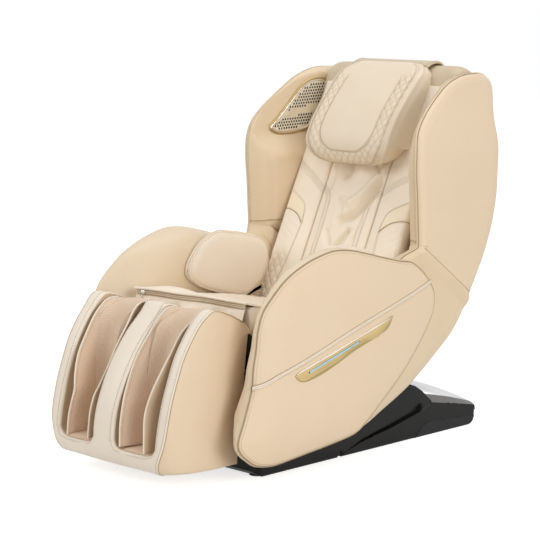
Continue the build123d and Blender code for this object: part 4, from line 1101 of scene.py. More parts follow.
def slab(name, x, along, front, behind, materials, kinds, place, marks=None):
    # a padded panel: its face follows a grid of heights, with flat sides and a flat rear
    rows, columns = len(along), len(x)
    gx, ga = np.meshgrid(x, along)
    top = place(gx.ravel(), ga.ravel(), front.ravel())
    rear = place(gx.ravel(), ga.ravel(), np.full(gx.size, float(behind)))
    faces = sheetFaces(rows, columns)
    bands = [int(k) for k in kinds] * 2
    bands += [0] * (len(faces) - len(bands))
    uv = np.column_stack([gx.ravel(), ga.ravel()])
    piece = makeMesh(name, np.vstack([top, rear]), faces, materials, bands, uv=np.vstack([uv, uv]))
    if marks is not None:
        markSeamShade(piece, np.concatenate([marks, np.zeros(rows * columns)]))
    return piece


def diamonds(points, pitch, width):
    # how close each place is to the lines of a diamond quilting
    a = (points[:, 0] + points[:, 1] * 0.8) / pitch
    b = (points[:, 0] - points[:, 1] * 0.8) / pitch
    near = np.minimum(np.abs(a - np.round(a)), np.abs(b - np.round(b))) * pitch
    return np.exp(-(near / width)**2)


def sideHeight(points):
    lines = [back["chevron"], back["chevronLow"], back["inlay"], back["seamLine"]]
    fine = [smoothLine(line, 60) for line in lines]
    cut = grooves(points, fine, 2.6, 1.5)
    puff = 5 * np.sin(np.clip((points[:, 0] - back["sideInner"]) / 130, 0, 1) * math.pi)
    quilt = diamonds(points, 30, 4.5) * 3.2 * eased(-points[:, 1], -10, 60)
    quilt = quilt * eased(points[:, 0], 160, 190)
    rays = np.abs((points[:, 1] - points[:, 0] * 0.62) / 25)
    rays = np.exp(-((rays - np.round(rays)) * 25 / 2.4)**2) * 1.2
    rays *= eased(points[:, 0], 165, 176) * eased(-points[:, 1], -100, -86) * eased(points[:, 1], 0, 30)
    outer = edgeDrop(back["sideOuter"] - points[:, 0], 14) * 1.2
    inner = edgeDrop(points[:, 0] - back["sideInner"], back["round"])
    wave = 1.6 * np.sin(points[:, 1] / 23 + points[:, 0] / 31) * eased(-points[:, 1], -20, 80)
    return 3 + puff - cut - quilt - rays - outer - inner + wave, cut


def centreHeight(points):
    sides = [smoothLine([(side * x, y) for x, y in line], 80)
             for line in back["centreLines"] for side in (-1, 1)]
    cut = grooves(points, sides, 2.4, 1.5)
    folds = np.zeros(len(points))
    for line, depth, width in back["folds"]:
        fine = smoothLine(line, 50) if len(line) > 2 else evenLine(line, 50)
        folds -= 1.6 * depth * np.exp(-(lineDistance(points, fine) / (width * 0.8))**2)
    calm = eased(back["centre"] - np.abs(points[:, 0]), 0, 26)
    drop = edgeDrop(back["centre"] - np.abs(points[:, 0]), back["round"])
    puff = 4 * np.cos(points[:, 0] / back["centre"] * math.pi / 2)
    return 1 + puff - drop - cut + folds * calm, cut


def makeBack():
    x = np.arange(back["sideInner"], back["sideOuter"] + 0.1, back["step"] * 0.75)
    along = np.arange(back["low"], back["high"] + 0.1, back["step"])
    gx, ga = np.meshgrid(x, along)
    points = np.column_stack([gx.ravel(), ga.ravel()])
    height, cut = sideHeight(points)
    middle = points.reshape(len(along), len(x), 2)
    middle = (middle[:-1, :-1] + middle[1:, 1:]).reshape(-1, 2) / 2
    kinds = inside(middle, smoothLine(back["inlay"], 90)).astype(int)
    side = slab("back_side", x, along, height, back["behind"], [backLeather, inlayLeather], kinds, onBack,
                cut / 2.6 * 0.28)
    bothSides(side, "back_side_pad", "shell", "smooth_leather", "back_side_pad", fill=0.8)

    def laid(line, lift):
        fine = smoothLine(line, 90)
        height, _ = sideHeight(fine)
        return onBack(fine[:, 0], fine[:, 1], height + lift)

    rows = [laid([(x, y + 7) for x, y in back["chevron"]][0:], 0.3),
            laid([(x, y - 7) for x, y in back["chevronLow"]], 0.3),
            laid([(x - 4, y) for x, y in back["seamLine"]], 0.3)]
    bothSides(stitchSeams("rows", rows, size=0.9), "side_pad_stitches", "shell", "smooth_leather")
    cord = [tubeAlong("cord", laid(back["inlay"][:6], 2.2), 1.3, pipingLeather, sides=6),
            tubeAlong("cord", laid(back["inlay"][5:], 2.2), 1.0, sewingThread, sides=6)]
    bothSides(joined("inlay_cord", cord), "inlay_cord", "shell", "smooth_leather")

    x = np.arange(-back["centre"], back["centre"] + 0.1, back["step"])
    gx, ga = np.meshgrid(x, along)
    points = np.column_stack([gx.ravel(), ga.ravel()])
    height, cut = centreHeight(points)
    centre = slab("back_centre_pad", x, along, height, back["behind"], [backLeather],
                  np.zeros((len(along) - 1) * (len(x) - 1)), onBack, cut / 2.4 * 0.28)
    rides(centre, "shell", "smooth_leather", "back_centre_pad", fill=0.8)
    rows = []
    for line in back["centreLines"]:
        for side in (-1, 1):
            fine = smoothLine([(side * x, y) for x, y in line], 120)
            away = 4 if line is back["centreLines"][0] else -4
            fine[:, 0] += side * away
            height, _ = centreHeight(fine)
            rows.append(onBack(fine[:, 0], fine[:, 1], height + 0.3))
    rides(stitchSeams("centre_stitches", rows, size=0.9), "shell", "smooth_leather")


makeBack()
print("back made")


# head pillow, its strap over the top and the cover behind it

pillow = {
    "profile": [(372, 788), (345, 800), (330, 822), (327, 850), (341, 890), (377, 945), (424, 1000),
                (468, 1046), (500, 1072), (526, 1084), (540, 1084)],
    "half": 174, "corners": (104, 80), "lines": (20, 66),
    "deepAt": (0, 0.25, 0.6, 1), "deep": (56, 76, 63, 8),  # behind the face's edge, up the profile
    "foot": 62, "side": 27,
}


def profilePlace(line):
    # a place on a surface that runs across x and along a (y, z) profile
    profile = smoothLine(line, 300)
    length = np.concatenate([[0], np.cumsum(np.linalg.norm(np.diff(profile, axis=0), axis=1))])
    ahead = np.gradient(profile, axis=0)
    ahead /= np.linalg.norm(ahead, axis=1)[:, None]
    normal = np.column_stack([-ahead[:, 1], ahead[:, 0]])
    for turn in range(10):
        normal[1:-1] = (normal[:-2] + normal[1:-1] + normal[2:]) / 3

    def place(x, along, front):
        y, z = (np.interp(along, length, profile[:, k]) for k in (0, 1))
        ny, nz = (np.interp(along, length, normal[:, k]) for k in (0, 1))
        return np.stack(np.broadcast_arrays(x, y + ny * front, z + nz * front), axis=-1)

    return place, length[-1]


def pillowRing(total, inset):
    # the pillow's outline drawn in by this much, with the same places along it on every ring
    half, counts, line = pillow["half"], (44, 62, 40, 62), []
    corners = [(-1, 0, 180), (1, 0, 270), (1, 1, 0), (-1, 1, 90)]
    ends = []
    for side, high, start in corners:
        radius = pillow["corners"][high] - inset * 0.5
        middle = np.array([side * (half - inset - radius),
                           total - inset - radius if high else inset + radius])
        angles = np.radians(np.linspace(start, start + 90, 26))
        ends.append(middle + radius * np.column_stack([np.cos(angles), np.sin(angles)]))
    for k, arc in enumerate(ends):
        run = np.linspace(0, 1, counts[k] + 2)[1:-1, None]
        line += [arc, arc[-1] + (ends[(k + 1) % 4][0] - arc[-1]) * run]
    return np.vstack(line)


def makePillow():
    place, total = profilePlace(pillow["profile"])
    outline = pillowRing(total, 0)
    first, second = pillow["lines"]
    top = eased(outline[:, 1], total - 70, total - 24)
    rings, marks = [], []

    def straightBack(line, front):
        # the sides run straight back, also where the face curls in at its foot
        foot = np.maximum(line[:, 1], pillow["foot"])
        ahead = place(line[:, 0], foot, 1) - place(line[:, 0], foot, 0)
        return place(line[:, 0], line[:, 1], np.maximum(front, 0)) + ahead * np.minimum(front, 0)[:, None]

    def depthAt(line):
        return np.interp(line[:, 1], np.array(pillow["deepAt"]) * total, pillow["deep"])

    def ring(line, front, mark=0.0):
        rings.append(straightBack(line, np.broadcast_to(front, len(line))))
        marks.append(np.broadcast_to(mark, len(line)))

    inner = pillowRing(total, 70)
    centre = np.array([0, total * 0.55])
    for share in (0.05, 0.2, 0.4, 0.6, 0.8, 0.92):
        line = centre + (inner - centre) * share
        ring(line, 13 - 3 * share**2 + 1.2 * np.sin(line[:, 0] / 37) * np.sin(line[:, 1] / 29))
    for inset in np.arange(69.5, first, -1.4):
        line = pillowRing(total, inset)
        cut = 2.4 * np.exp(-((inset - second) / 1.6)**2)
        within = eased(inset, first + 1, first + 5), eased(-inset, -second, -second + 4)
        quilt = diamonds(line, 25, 2.2) * 2.6 * within[0] * within[1]
        puff = 2.2 * math.sin(max(0, min(1, (inset - first) / (second - first))) * math.pi)
        ring(line, 10 - 4 * (1 - eased(inset, first, first + 20)) + (puff - cut - quilt) * (1 - top),
             (cut / 2.4 * 0.6 + quilt * 0.08) * (1 - top))
    for inset, front, mark in ((first - 0.4, 4.6, 0.7), (first - 1.0, 3.2, 0.8), (first - 2.6, 4.4, 0.2),
                               (first - 5, 4.4, 0), (first - 9, 2, 0), (first - 13, -2.5, 0), (8, -9, 0),
                               (4.6, -14.5, 0), (2.2, -20, 0), (0.8, -25, 0)):
        ring(pillowRing(total, inset), front * (1 - top) + top * (front * 0.3 - 0.5), mark)
    deep = depthAt(outline)
    flat = pillow["side"] * (1 - top) + 4 * top
    for share, outset in ((0.08, 0), (0.2, 0.6), (0.4, 1.2), (0.6, 1.4), (0.8, 1), (0.92, 0.2),
                          (0.97, -1.4), (1, -6)):
        ring(pillowRing(total, -outset), -flat - deep * share)
    for share in (0.7, 0.35, 0.05):
        line = centre + (pillowRing(total, 6) - centre) * share
        ring(line, -pillow["side"] - depthAt(line))
    piece = ringSolid("pillow", rings, [softLeather])
    markSeamShade(piece, np.concatenate([np.concatenate(marks), [0, 0]]))
    rides(piece, "head_pillow", "smooth_leather", "pillow", fill=0.9)

    # the cords and stitches run up one side, round the bottom and up the other
    low = outline[:, 1] < total - 6
    start = int(np.argmax(low & ~np.roll(low, 1)))
    order = [k for k in np.roll(np.arange(len(outline)), -start) if low[k]]
    calm = 1 - top[order]

    def run(inset, front):
        return straightBack(pillowRing(total, inset)[order], front)

    rearEdge = -pillow["side"] - deep[order] * 0.93 + (1 - calm) * 22
    cords = [tubeAlong("cord", run(first - 1.2, 4.6 * calm + 1 - calm), 1.5, pipingLeather),
             tubeAlong("cord", run(-1.4, rearEdge), 2.6, pipingLeather)]
    rows = [run(inset, lift * calm + 7 * (1 - calm))
            for inset, lift in ((first + 4, 8.2), (first + 7.4, 9.2), (second - 3.6, 8.9),
                                (second + 3.6, 10))]
    pillowTrim = joined("pillow_trim", cords + [stitchSeams("rows", rows, size=0.85)])
    rides(pillowTrim, "head_pillow", "smooth_leather")


makePillow()

cover = {
    "profile": [(470, 930), (490, 975), (507, 1020), (520, 1050), (540, 1070), (566, 1079),
                (592, 1070), (608, 1044), (614, 1000), (612, 980)],
    "half": 272, "behind": -22,
    "strap": [(520, 1078), (538, 1086), (566, 1090), (592, 1082), (611, 1056), (618, 1010)],
    "strapHalf": 152,
}


def makeCover():
    place, total = profilePlace(cover["profile"])
    x = np.linspace(-cover["half"], cover["half"], 120)
    along = np.linspace(0, total, 70)
    gx, ga = np.meshgrid(x, along)
    ends = edgeDrop(cover["half"] - np.abs(gx.ravel()), 40) * 0.7
    waves = 1.5 * np.sin(gx.ravel() / 21 + ga.ravel() / 17) * eased(np.abs(gx.ravel()), 150, 240)
    piece = slab("top_cover", x, along, (0 - ends + waves).reshape(gx.shape), float(cover["behind"]),
                 [coverLeather], np.zeros(69 * 119), place)
    rides(piece, "shell", "smooth_leather", "top_cover", fill=0.6)
    place, total = profilePlace(cover["strap"])
    x = np.linspace(-cover["strapHalf"], cover["strapHalf"], 80)
    along = np.linspace(0, total, 50)
    gx, ga = np.meshgrid(x, along)
    edge = np.minimum(cover["strapHalf"] - np.abs(gx.ravel()), 40)
    height = 2.5 - edgeDrop(edge, 5) * 0.8
    piece = slab("pillow_strap", x, along, height, -5.0, [coverLeather], np.zeros(49 * 79), place)
    rides(piece, "shell", "smooth_leather", fill=0.4)
    side = cover["strapHalf"] - 6
    rows = [place(np.full(60, s * side), np.linspace(4, total - 4, 60), 2.9) for s in (-1, 1)]
    rides(stitchSeams("strap_stitches", rows, size=0.85), "shell", "smooth_leather")


makeCover()
print("pillow and cover made")


# leg rest: a padded body with two wells, swept along its front line from the floor up over the top

leg = {
    # front line, bottom to top and back: y and z, the bridge's set-back, the side seam's x
    "line": [(-556, 44, 0, 180), (-580, 46, -2, 194), (-598, 54, -4, 201), (-609, 70, -7, 208),
             (-613, 92, -10, 217), (-611, 118, -12, 227), (-607, 150, -14, 235), (-598, 195, -14, 237),
             (-584, 248, -9, 237), (-563, 306, -1, 237), (-541, 357, 11, 237), (-511, 404, 20, 237),
             (-482, 440, 25, 237), (-462, 460, 22, 241), (-444, 471, 15, 241), (-424, 471, 8, 241),
             (-390, 461, 2, 241), (-345, 440, 0, 241), (-316, 424, 0, 240)],
    "anchorLow": (-342, 44), "anchorHigh": (-302, 392), "steps": 230,
    "bridge": 42, "well": 196, "sill": 98, "round": 6, "rear": 226,
    "wellBack": -446, "floor": 48,
}


def legSections():
    line = smoothLine(leg["line"], leg["steps"])
    share = np.linspace(0, 1, leg["steps"])
    low, high = np.array(leg["anchorLow"]), np.array(leg["anchorHigh"])
    reach = np.clip((line[:, 1] - 60) / 330, 0, 1)
    top = eased(share, 0.72, 0.98)
    anchor = low + (high - low) * np.maximum(reach, top)[:, None]
    anchor[:, 0] += 12 * top
    inward = anchor - line[:, :2]
    depth = np.linalg.norm(inward, axis=1)
    return line, inward / depth[:, None], depth, share


legLine, legInward, legDepth, legShare = legSections()


def legPlace(k, x, d):
    # a place on section k: x across and d behind the front line
    return (x, legLine[k, 0] + legInward[k, 0] * d, legLine[k, 1] + legInward[k, 1] * d)


def wellHalf(k):
    # half the well's width here; its lower corners are rounded
    half, corner = (leg["well"] - leg["bridge"]) / 2, 36
    under = (leg["sill"] + corner * 0.75 - legLine[k, 1]) / (corner * 0.75)
    under = min(1, max(0, under)) if legShare[k] < 0.5 else 0
    return half - corner * (1 - math.sqrt(1 - under**2))


def notchDepth(k):
    # how deep the well is here; it ends in a floor just above the bottom strip
    y, z = legLine[k, :2]
    share, full = legShare[k], legDepth[k]
    if z < leg["sill"] and share < 0.5:
        return 0
    if share < 0.62:
        return float(min(max(20, (leg["wellBack"] - y) / max(legInward[k, 0], 0.2)), full - 6))
    before = min(full - 6, 110)
    return float(min(leg["floor"] + (before - leg["floor"]) * (1 - eased(share, 0.66, 0.8)), full - 6))


def makeLegShell():
    sections, kinds, marks = [], [], []
    half = leg["round"]
    for k in range(leg["steps"]):
        y, z, recess, seam = legLine[k]
        spots = []
        bridgeDepth = recess

        def add(x, d, kind, mark=0.0):
            spots.append((x, d, kind, mark))

        deep = notchDepth(k)
        near, far = (leg["bridge"] + leg["well"]) / 2 + np.array([-1, 1]) * wellHalf(k)
        for part in (0, 0.27, 0.54, 0.81, 1):
            add((near - 9) * part, bridgeDepth - 1.5 * math.cos(part * math.pi / 2) + 1.5 * part**3, 0)
        for turn in (0.25, 0.5, 0.75, 1):
            a = turn * math.pi / 2
            add(near - 9 + 9 * math.sin(a), bridgeDepth + (1.5 + 9 * (1 - math.cos(a)) if deep else 0), 0)
        for share in (0.12, 0.4, 0.7, 1):
            if deep:
                add(near, max(bridgeDepth + 10.5, deep * share), 2)
            else:
                add(near + share * 1.5, bridgeDepth, 0)
        for part in (0.03, 0.07, 0.12, 0.19, 0.27, 0.36, 0.5, 0.64, 0.73, 0.81, 0.88, 0.93, 0.97):
            add(near + (far - near) * part, deep if deep else bridgeDepth * (1 - part), 2 if deep else 0)
        for share in (1, 0.7, 0.4, 0.12):
            if deep:
                add(far, max(9, deep * share), 2)
            else:
                add(far - share * 1.5, 0, 0)
        for turn in (1, 0.75, 0.5, 0.25):
            a = turn * math.pi / 2
            add(far + 8 - 8 * math.sin(a), (9 * (1 - math.cos(a))) if deep else 0, 0)
        wide = seam - 3
        start = far + 8
        wide = max(wide, start + 1)
        add(start + (wide - start) * 0.35, -0.8, 0)
        add(start + (wide - start) * 0.7, -0.4, 0)
        add(wide - 1.5, 0.6, 0)
        add(max(wide, seam - 1.4), 2.2, 0, 0.2)
        add(seam - 0.9, 3.6, 0, 0.7)
        add(seam - 1.0, 4.6, 1, 0.7)
        side = 242
        full = legDepth[k]
        for d in (6, 8, 11, 15, 20, 28, 38, 52, 70, 95, 125, 160, 190):
            grow = 1 - math.exp(-(d - 5) / (9 + max(0, 237 - seam) * 0.8))
            x = seam - 0.8 + (side - seam) * grow
            d = min(d, full * 0.93)
            place = legPlace(k, x, d)
            # behind the crease the side is darkened by the mark: painted shade where it turns in towards
            # the arm
            crease = eased(place[1], -418, -372)
            add(x - 4 * crease, d, 1, 0.7 * float(crease))
        # the marks on the rear edge are painted shade as well
        add(leg["rear"] + 12, full * 0.97, 1, 0.6)
        add(leg["rear"], full, 1, 0.4)
        add(leg["rear"] * 0.5, full, 1)
        add(0, full, 1)
        right = [legPlace(k, x, d) for x, d, kind, mark in spots]
        left = [(-x, b, c) for x, b, c in right[-2:0:-1]]
        sections.append(right + left)
        kinds.append([kind for x, d, kind, mark in spots] + [kind for x, d, kind, mark in spots[-2:0:-1]])
        marks.append([mark for x, d, kind, mark in spots] + [mark for x, d, kind, mark in spots[-2:0:-1]])
    rings = np.array(sections)
    kinds = np.array(kinds)
    count = len(kinds[0])
    bands = np.minimum(kinds[:-1], np.roll(kinds[:-1], -1, axis=1))
    bands = np.where((kinds[:-1] == 2) | (np.roll(kinds[:-1], -1, axis=1) == 2), 2, bands)
    bands = np.where((kinds[:-1] == 1) & (np.roll(kinds[:-1], -1, axis=1) == 1), 1, bands)
    # the wells' walls take the darker copy: painted shade
    piece = ringSolid("legrest_shell", rings, [smoothLeather, grainedLeather, wellLeather], bands)
    markSeamShade(piece, np.concatenate([np.array(marks).ravel(), [0, 0]]))
    rides(piece, "legrest", "smooth_leather", "legrest_shell", fill=0.8)


makeLegShell()


def legRun(x, d, low, high, lift=0.5):
    # a line along the sweep at x, d behind the front line
    first, last = int(low * leg["steps"]), int(high * leg["steps"])
    return np.array([legPlace(k, x(k) if callable(x) else x, (d(k) if callable(d) else d) - lift)
                     for k in range(first, last)])


def legStitches():
    steps = leg["steps"]
    sill = next(k for k in range(steps) if legLine[k, 1] > leg["sill"] + 22) / steps
    rows = []
    for side in (-1, 1):
        rows.append(legRun(lambda k: side * (legLine[k, 3] - 7), 0.4, 0.02, 0.97))
        rows.append(legRun(side * (leg["well"] + 9), 0.6, sill, 0.97, 1.0))
        rows.append(legRun(side * (leg["bridge"] - 8), lambda k: legLine[k, 2] + 1.0, sill, 0.97, 1.0))
        # round the sill of each well
        corner = []
        for t in np.linspace(math.pi, 2 * math.pi, 60):
            across, up = math.cos(t), math.sin(t)
            x = (leg["bridge"] + leg["well"]) / 2 + math.copysign(abs(across)**0.62, across) * 79
            z = leg["sill"] + 24 + math.copysign(abs(up)**0.72, up) * 31
            k = int(np.argmin(np.abs(legLine[:120, 1] - z)))
            corner.append(legPlace(k, side * x, legLine[k, 2] * (leg["well"] - x) / 154 - 0.9))
        rows.append(np.array(corner))
    rides(stitchSeams("leg_stitches", rows), "legrest", "smooth_leather")
    cords = [tubeAlong("cord", legRun(lambda k: side * (legLine[k, 3] - 0.4), 4.1, 0.01, 0.98), 1.1,
                       sewingThread, sides=6) for side in (-1, 1)]
    rides(joined("leg_seam", cords), "legrest", "smooth_leather")


legStitches()


# inside the wells: ribbed calf pads, piped flaps and the sole pads

calf = {
    "line": [(-505, 100), (-501, 160), (-494, 220), (-486, 290), (-474, 350), (-456, 398), (-438, 428),
             (-418, 446), (-396, 452), (-366, 446), (-340, 434)],
    "x": (70, 172), "behind": -26,
    "outer": [(187, -400, 457), (189, -436, 455), (186, -462, 440), (179, -495, 414), (176, -530, 363),
              (171, -559, 318), (160, -580, 270), (150, -592, 227), (151, -603, 190), (156, -609, 150),
              (158, -612, 104)],
    "outerRoot": [(170, -372, 448), (170, -420, 444), (170, -452, 392), (170, -474, 336),
                  (170, -484, 288), (170, -488, 262), (169, -490, 238), (167, -494, 196),
                  (166, -498, 150), (166, -500, 104)],
    "inner": [(58, -400, 460), (56, -436, 457), (54, -462, 436), (50, -487, 404), (47, -527, 352),
              (47, -554, 306), (54, -584, 250), (60, -597, 224), (63, -608, 185), (64, -613, 150),
              (66, -616, 108)],
    "innerRoot": [(73, -372, 448), (73, -420, 444), (73, -452, 392), (73, -474, 336), (73, -484, 288),
                  (73, -488, 258), (74, -492, 220), (75, -495, 180), (76, -498, 146), (80, -500, 104)],
}


def makeCalf():
    place, total = profilePlace([(y, z) for y, z in calf["line"]])
    x = np.linspace(*calf["x"], 42)
    along = np.linspace(0, total, 150)
    gx, ga = np.meshgrid(x, along)
    middle = (gx.ravel() - 121) / 51
    # dished between the flaps, and full where it rolls over the top
    dish = 1 - eased(ga.ravel(), total * 0.66, total * 0.84)
    height = (9 - 9 * np.abs(middle)**2.2) * (1 - dish) + (36 * np.abs(middle)**3 - 3) * dish
    height = height + 1.2 * np.sin(ga.ravel() / 34) * (1 - middle**2)
    piece = slab("calf_pad", x, along, height, calf["behind"], [ribbedFabric], np.zeros(149 * 41), place)
    bothSides(piece, "calf_pad", "legrest", "ribbed_fabric", "calf_pad", fill=0.7)


def makeFlap(edge, root, inward):
    # a padded leaf from its root to the piped edge; its outside is leather, its inside ribbed
    front = smoothLine(edge, 120)
    foot = smoothLine(root, 120)
    inside = np.array([inward, 0, 0])
    count = 16
    faces, points, bands, uv = [], [], [], []
    length = np.concatenate([[0], np.cumsum(np.linalg.norm(np.diff(front, axis=0), axis=1))])
    for k in range(120):
        across = front[k] - foot[k]
        reach = np.linalg.norm(across)
        for c in range(count):
            t = c / (count - 1)
            bow = inside * (7.5 * math.sin(t * math.pi)**0.8 + 1.5 * math.sin(k / 9) * t * (1 - t) * 2)
            points.append(foot[k] + across * t + bow)
            uv.append((t * reach, length[k]))
        for c in range(count - 1, -1, -1):
            t = c / (count - 1)
            points.append(foot[k] + across * t - inside * (3.4 * math.sin(t * math.pi)**0.5 + 0.6))
            uv.append((t * reach, length[k]))
    faces = gridFaces(120, 2 * count, closed=True)
    bands = [0 if c < count - 1 else 1 for k in range(119) for c in range(2 * count)]
    faces += [tuple(range(2 * count)), tuple(119 * 2 * count + c for c in range(2 * count))]
    bands += [1, 1]
    # the leaf's leather outside takes the wells' darker copy: painted shade
    leaf = makeMesh("leaf", points, faces, [ribbedFabric, wellLeather], bands, uv=uv)
    cord = tubeAlong("cord", front, 2.6, pipingLeather)
    hem = front - (front - foot) / np.linalg.norm(front - foot, axis=1)[:, None] * 5.5 + inside * 4.0
    rows = stitchSeams("rows", [hem], size=0.8)
    return [leaf, cord, rows]


def makeFlaps():
    flap = joined("well_flaps", makeFlap(calf["outer"], calf["outerRoot"], -1)
                  + makeFlap(calf["inner"], calf["innerRoot"], 1))
    bothSides(flap, "well_flaps", "legrest", "ribbed_fabric", "well_flaps", fill=0.5)


def makeSole():
    place, total = profilePlace([(-609, 98), (-603, 102), (-585, 103), (-530, 103), (-470, 103)])
    x = np.linspace(70, 172, 36)
    along = np.linspace(0, total, 60)
    gx, ga = np.meshgrid(x, along)
    height = 3 - 3.4 * np.abs((gx.ravel() - 121) / 51)**3
    piece = slab("sole_pad", x, along, height, -12, [soleFabric], np.zeros(59 * 35), place)
    bothSides(piece, "sole_pad", "legrest", "ribbed_fabric", "sole_pad", fill=0.8)


makeCalf()
makeFlaps()
makeSole()
print("leg rest made")


# seat: a quilted cushion, a thin flap over the zipper, and the loose apron below it

seat = {
    "half": 231, "rear": 204, "front": -294, "top": 465, "fall": 0.165,
    "flapRear": -226, "flapThick": 3.2, "tooth": 3.4, "slider": -190,
    "flapX": (-226, 231),
}


def flapEdge(x):
    # the flap's front edge: y and z across the seat
    return -300 - 0.00012 * x**2, 470.5 - 0.00004 * x**2 + 0.8 * np.sin(x / 31) + 7 * eased(x, -150, 226)


def zipLine(x, lower=0.0):
    y, z = flapEdge(x)
    return y + 3.5, z - 11.5 - lower


def seatTop(x, y):
    crown = 5 * np.cos(x / seat["half"] * math.pi / 2) * eased(y, -290, -180)
    crown = crown - edgeDrop(seat["half"] - np.abs(x), 16) * 0.7 * eased(y, -240, -180)
    tilt = -seat["fall"] * (y - seat["front"])
    points = np.column_stack([x, y])
    quilt = diamonds(points, 34, 4) * 3.0 * eased(y, -150, -60)
    seams = grooves(points, [np.array([(side * 118, -226), (side * 118, 204)], float) for side in (-1, 1)]
                    + [np.array([(-231, -222), (231, -222)], float)], 2.4, 2.4)
    waves = 1.8 * np.sin(x / 33 + y / 47) * eased(y, -210, -120)
    return seat["top"] + crown + tilt - quilt - seams + waves


def makeSeat():
    x = np.linspace(-seat["half"], seat["half"], 150)
    y = np.linspace(seat["front"], seat["rear"], 160)
    gx, gy = np.meshgrid(x, y)
    top = seatTop(gx.ravel(), gy.ravel()) - edgeDrop(gy.ravel() - seat["front"], 14)

    def place(px, py, front):
        return np.stack(np.broadcast_arrays(px, py, front), axis=-1)

    cushion = slab("seat_cushion", x, y, top, 345.0, [backLeather], np.zeros(159 * 149), place)
    rides(cushion, "shell", "smooth_leather", "seat_cushion", fill=0.8)

    # the flap: lies on the seat and reaches out over the zipper
    rows, columns = 26, 150
    x = np.linspace(*seat["flapX"], columns)
    edgeY, edgeZ = flapEdge(x)
    base = seatTop(x, np.full(columns, float(seat["flapRear"]))) + 1.6
    layers = []
    for thick in (0, -seat["flapThick"]):
        for r in range(rows):
            t = r / (rows - 1)
            y = seat["flapRear"] + (edgeY - seat["flapRear"]) * t
            swell = 15 * np.sin(t**0.8 * math.pi)**0.8 * np.exp(-((x + 105) / 90)**2)
            lift = base + (edgeZ - base) * t + swell
            lift = lift + 1.2 * np.sin(x / 41) * t
            layers.append(np.column_stack([x, y, lift + thick]))
    points = np.vstack(layers)
    flap = makeMesh("seat_flap", points, sheetFaces(rows, columns), [backLeather])
    rides(flap, "shell", "smooth_leather")
    t = 0.06  # the stitched line's share of the way from the flap's root to its edge
    y = seat["flapRear"] + (edgeY - seat["flapRear"]) * t
    z = base + (edgeZ - base) * t + 5 * math.sin(t * math.pi) * np.exp(-((x + 150) / 110)**2)
    lines = [np.column_stack([x, y, z + 1.2 * np.sin(x / 41) * t + 0.4])]
    hem = np.column_stack([x, edgeY + 1.5, edgeZ - 1.2])
    hem = tubeAlong("hem", hem, 4.4, backLeather, sides=12, flat=0.85)
    rides(joined("flap_hem", [hem, stitchSeams("rows", lines, size=0.85)]), "shell", "smooth_leather")


makeSeat()


def makeZipper():
    # a woven tape with two rows of interlocked teeth, and the puller that runs along it
    x = np.linspace(-222, 222, 120)
    y, z = zipLine(x)
    strip = []
    for lift, out in ((7, 1.5), (2.4, 0.2), (0, 0), (-2.4, 0.2), (-10, 1.5)):
        strip.append(np.column_stack([x, y + out, z + lift]))
    for lift, out in ((-10, 3.0), (0, 1.6), (7, 3.0)):
        strip.append(np.column_stack([x, y + out, z + lift]))
    rings = np.stack(strip, axis=1)
    tape = ringSolid("tape", rings, [tapeFabric])
    teeth = []
    for k, lift in enumerate((2.1, -2.1)):
        line = np.column_stack([x, y - 1.3, z + lift])[k:-1]
        teeth.append(runTree("teeth", toothTree, lineMesh("teeth", [line + np.array([k * 1.7, 0, 0])]), {
            "Spacing": seat["tooth"] * mm, "Finish": toothMetal,
            "Scale": (1.9 * mm, 1.5 * mm, 0.95 * mm)}))
    rides(tape, "shell", "zipper_fabric", "zipper_tape")
    chain = joined("zipper_teeth", teeth)
    rides(chain, "shell", "bright_steel")

    start = np.array([seat["slider"], *zipLine(float(seat["slider"]))])
    plates = []
    for front in (-4.4, -0.6):
        outline = roundedLine([(-8, -7), (7, -4.5), (7, 4.5), (-8, 7)], 3.5, 40)
        rings = [np.column_stack([start[0] + outline[:, 0] * grow, np.full(40, start[1] + front + deep),
                                  start[2] + outline[:, 1] * grow])
                 for grow, deep in ((0.86, -1.1), (1, -0.5), (1, 0.5), (0.86, 1.1))]
        plates.append(ringSolid("plate", rings, [brightMetal]))
    arch = np.array([(start[0] - 5 + t * 9, start[1] - 5.4 - 3.6 * math.sin(t * math.pi), start[2] + 0.5)
                     for t in np.linspace(0, 1, 20)])
    plates.append(tubeAlong("arch", arch, 1.2, brightMetal))
    loop = []
    for t in np.linspace(0, 2 * math.pi, 48, endpoint=False):
        loop.append((start[0] - 1 + 5.2 * math.sin(t) - (1 - math.cos(t)) * 1.5,
                     start[1] - 8.5 - 1.2 * math.cos(t), start[2] - 7 + 9 * math.cos(t)))
    plates.append(tubeAlong("loop", loop, 1.3, brightMetal, closed=True, up=(0, 1, 0)))
    rides(joined("zip_puller", plates), "slider", "zinc_steel", "zip_slider")


makeZipper()

apron = {"rows": 70, "columns": 260, "low": 380, "thick": 1.6}


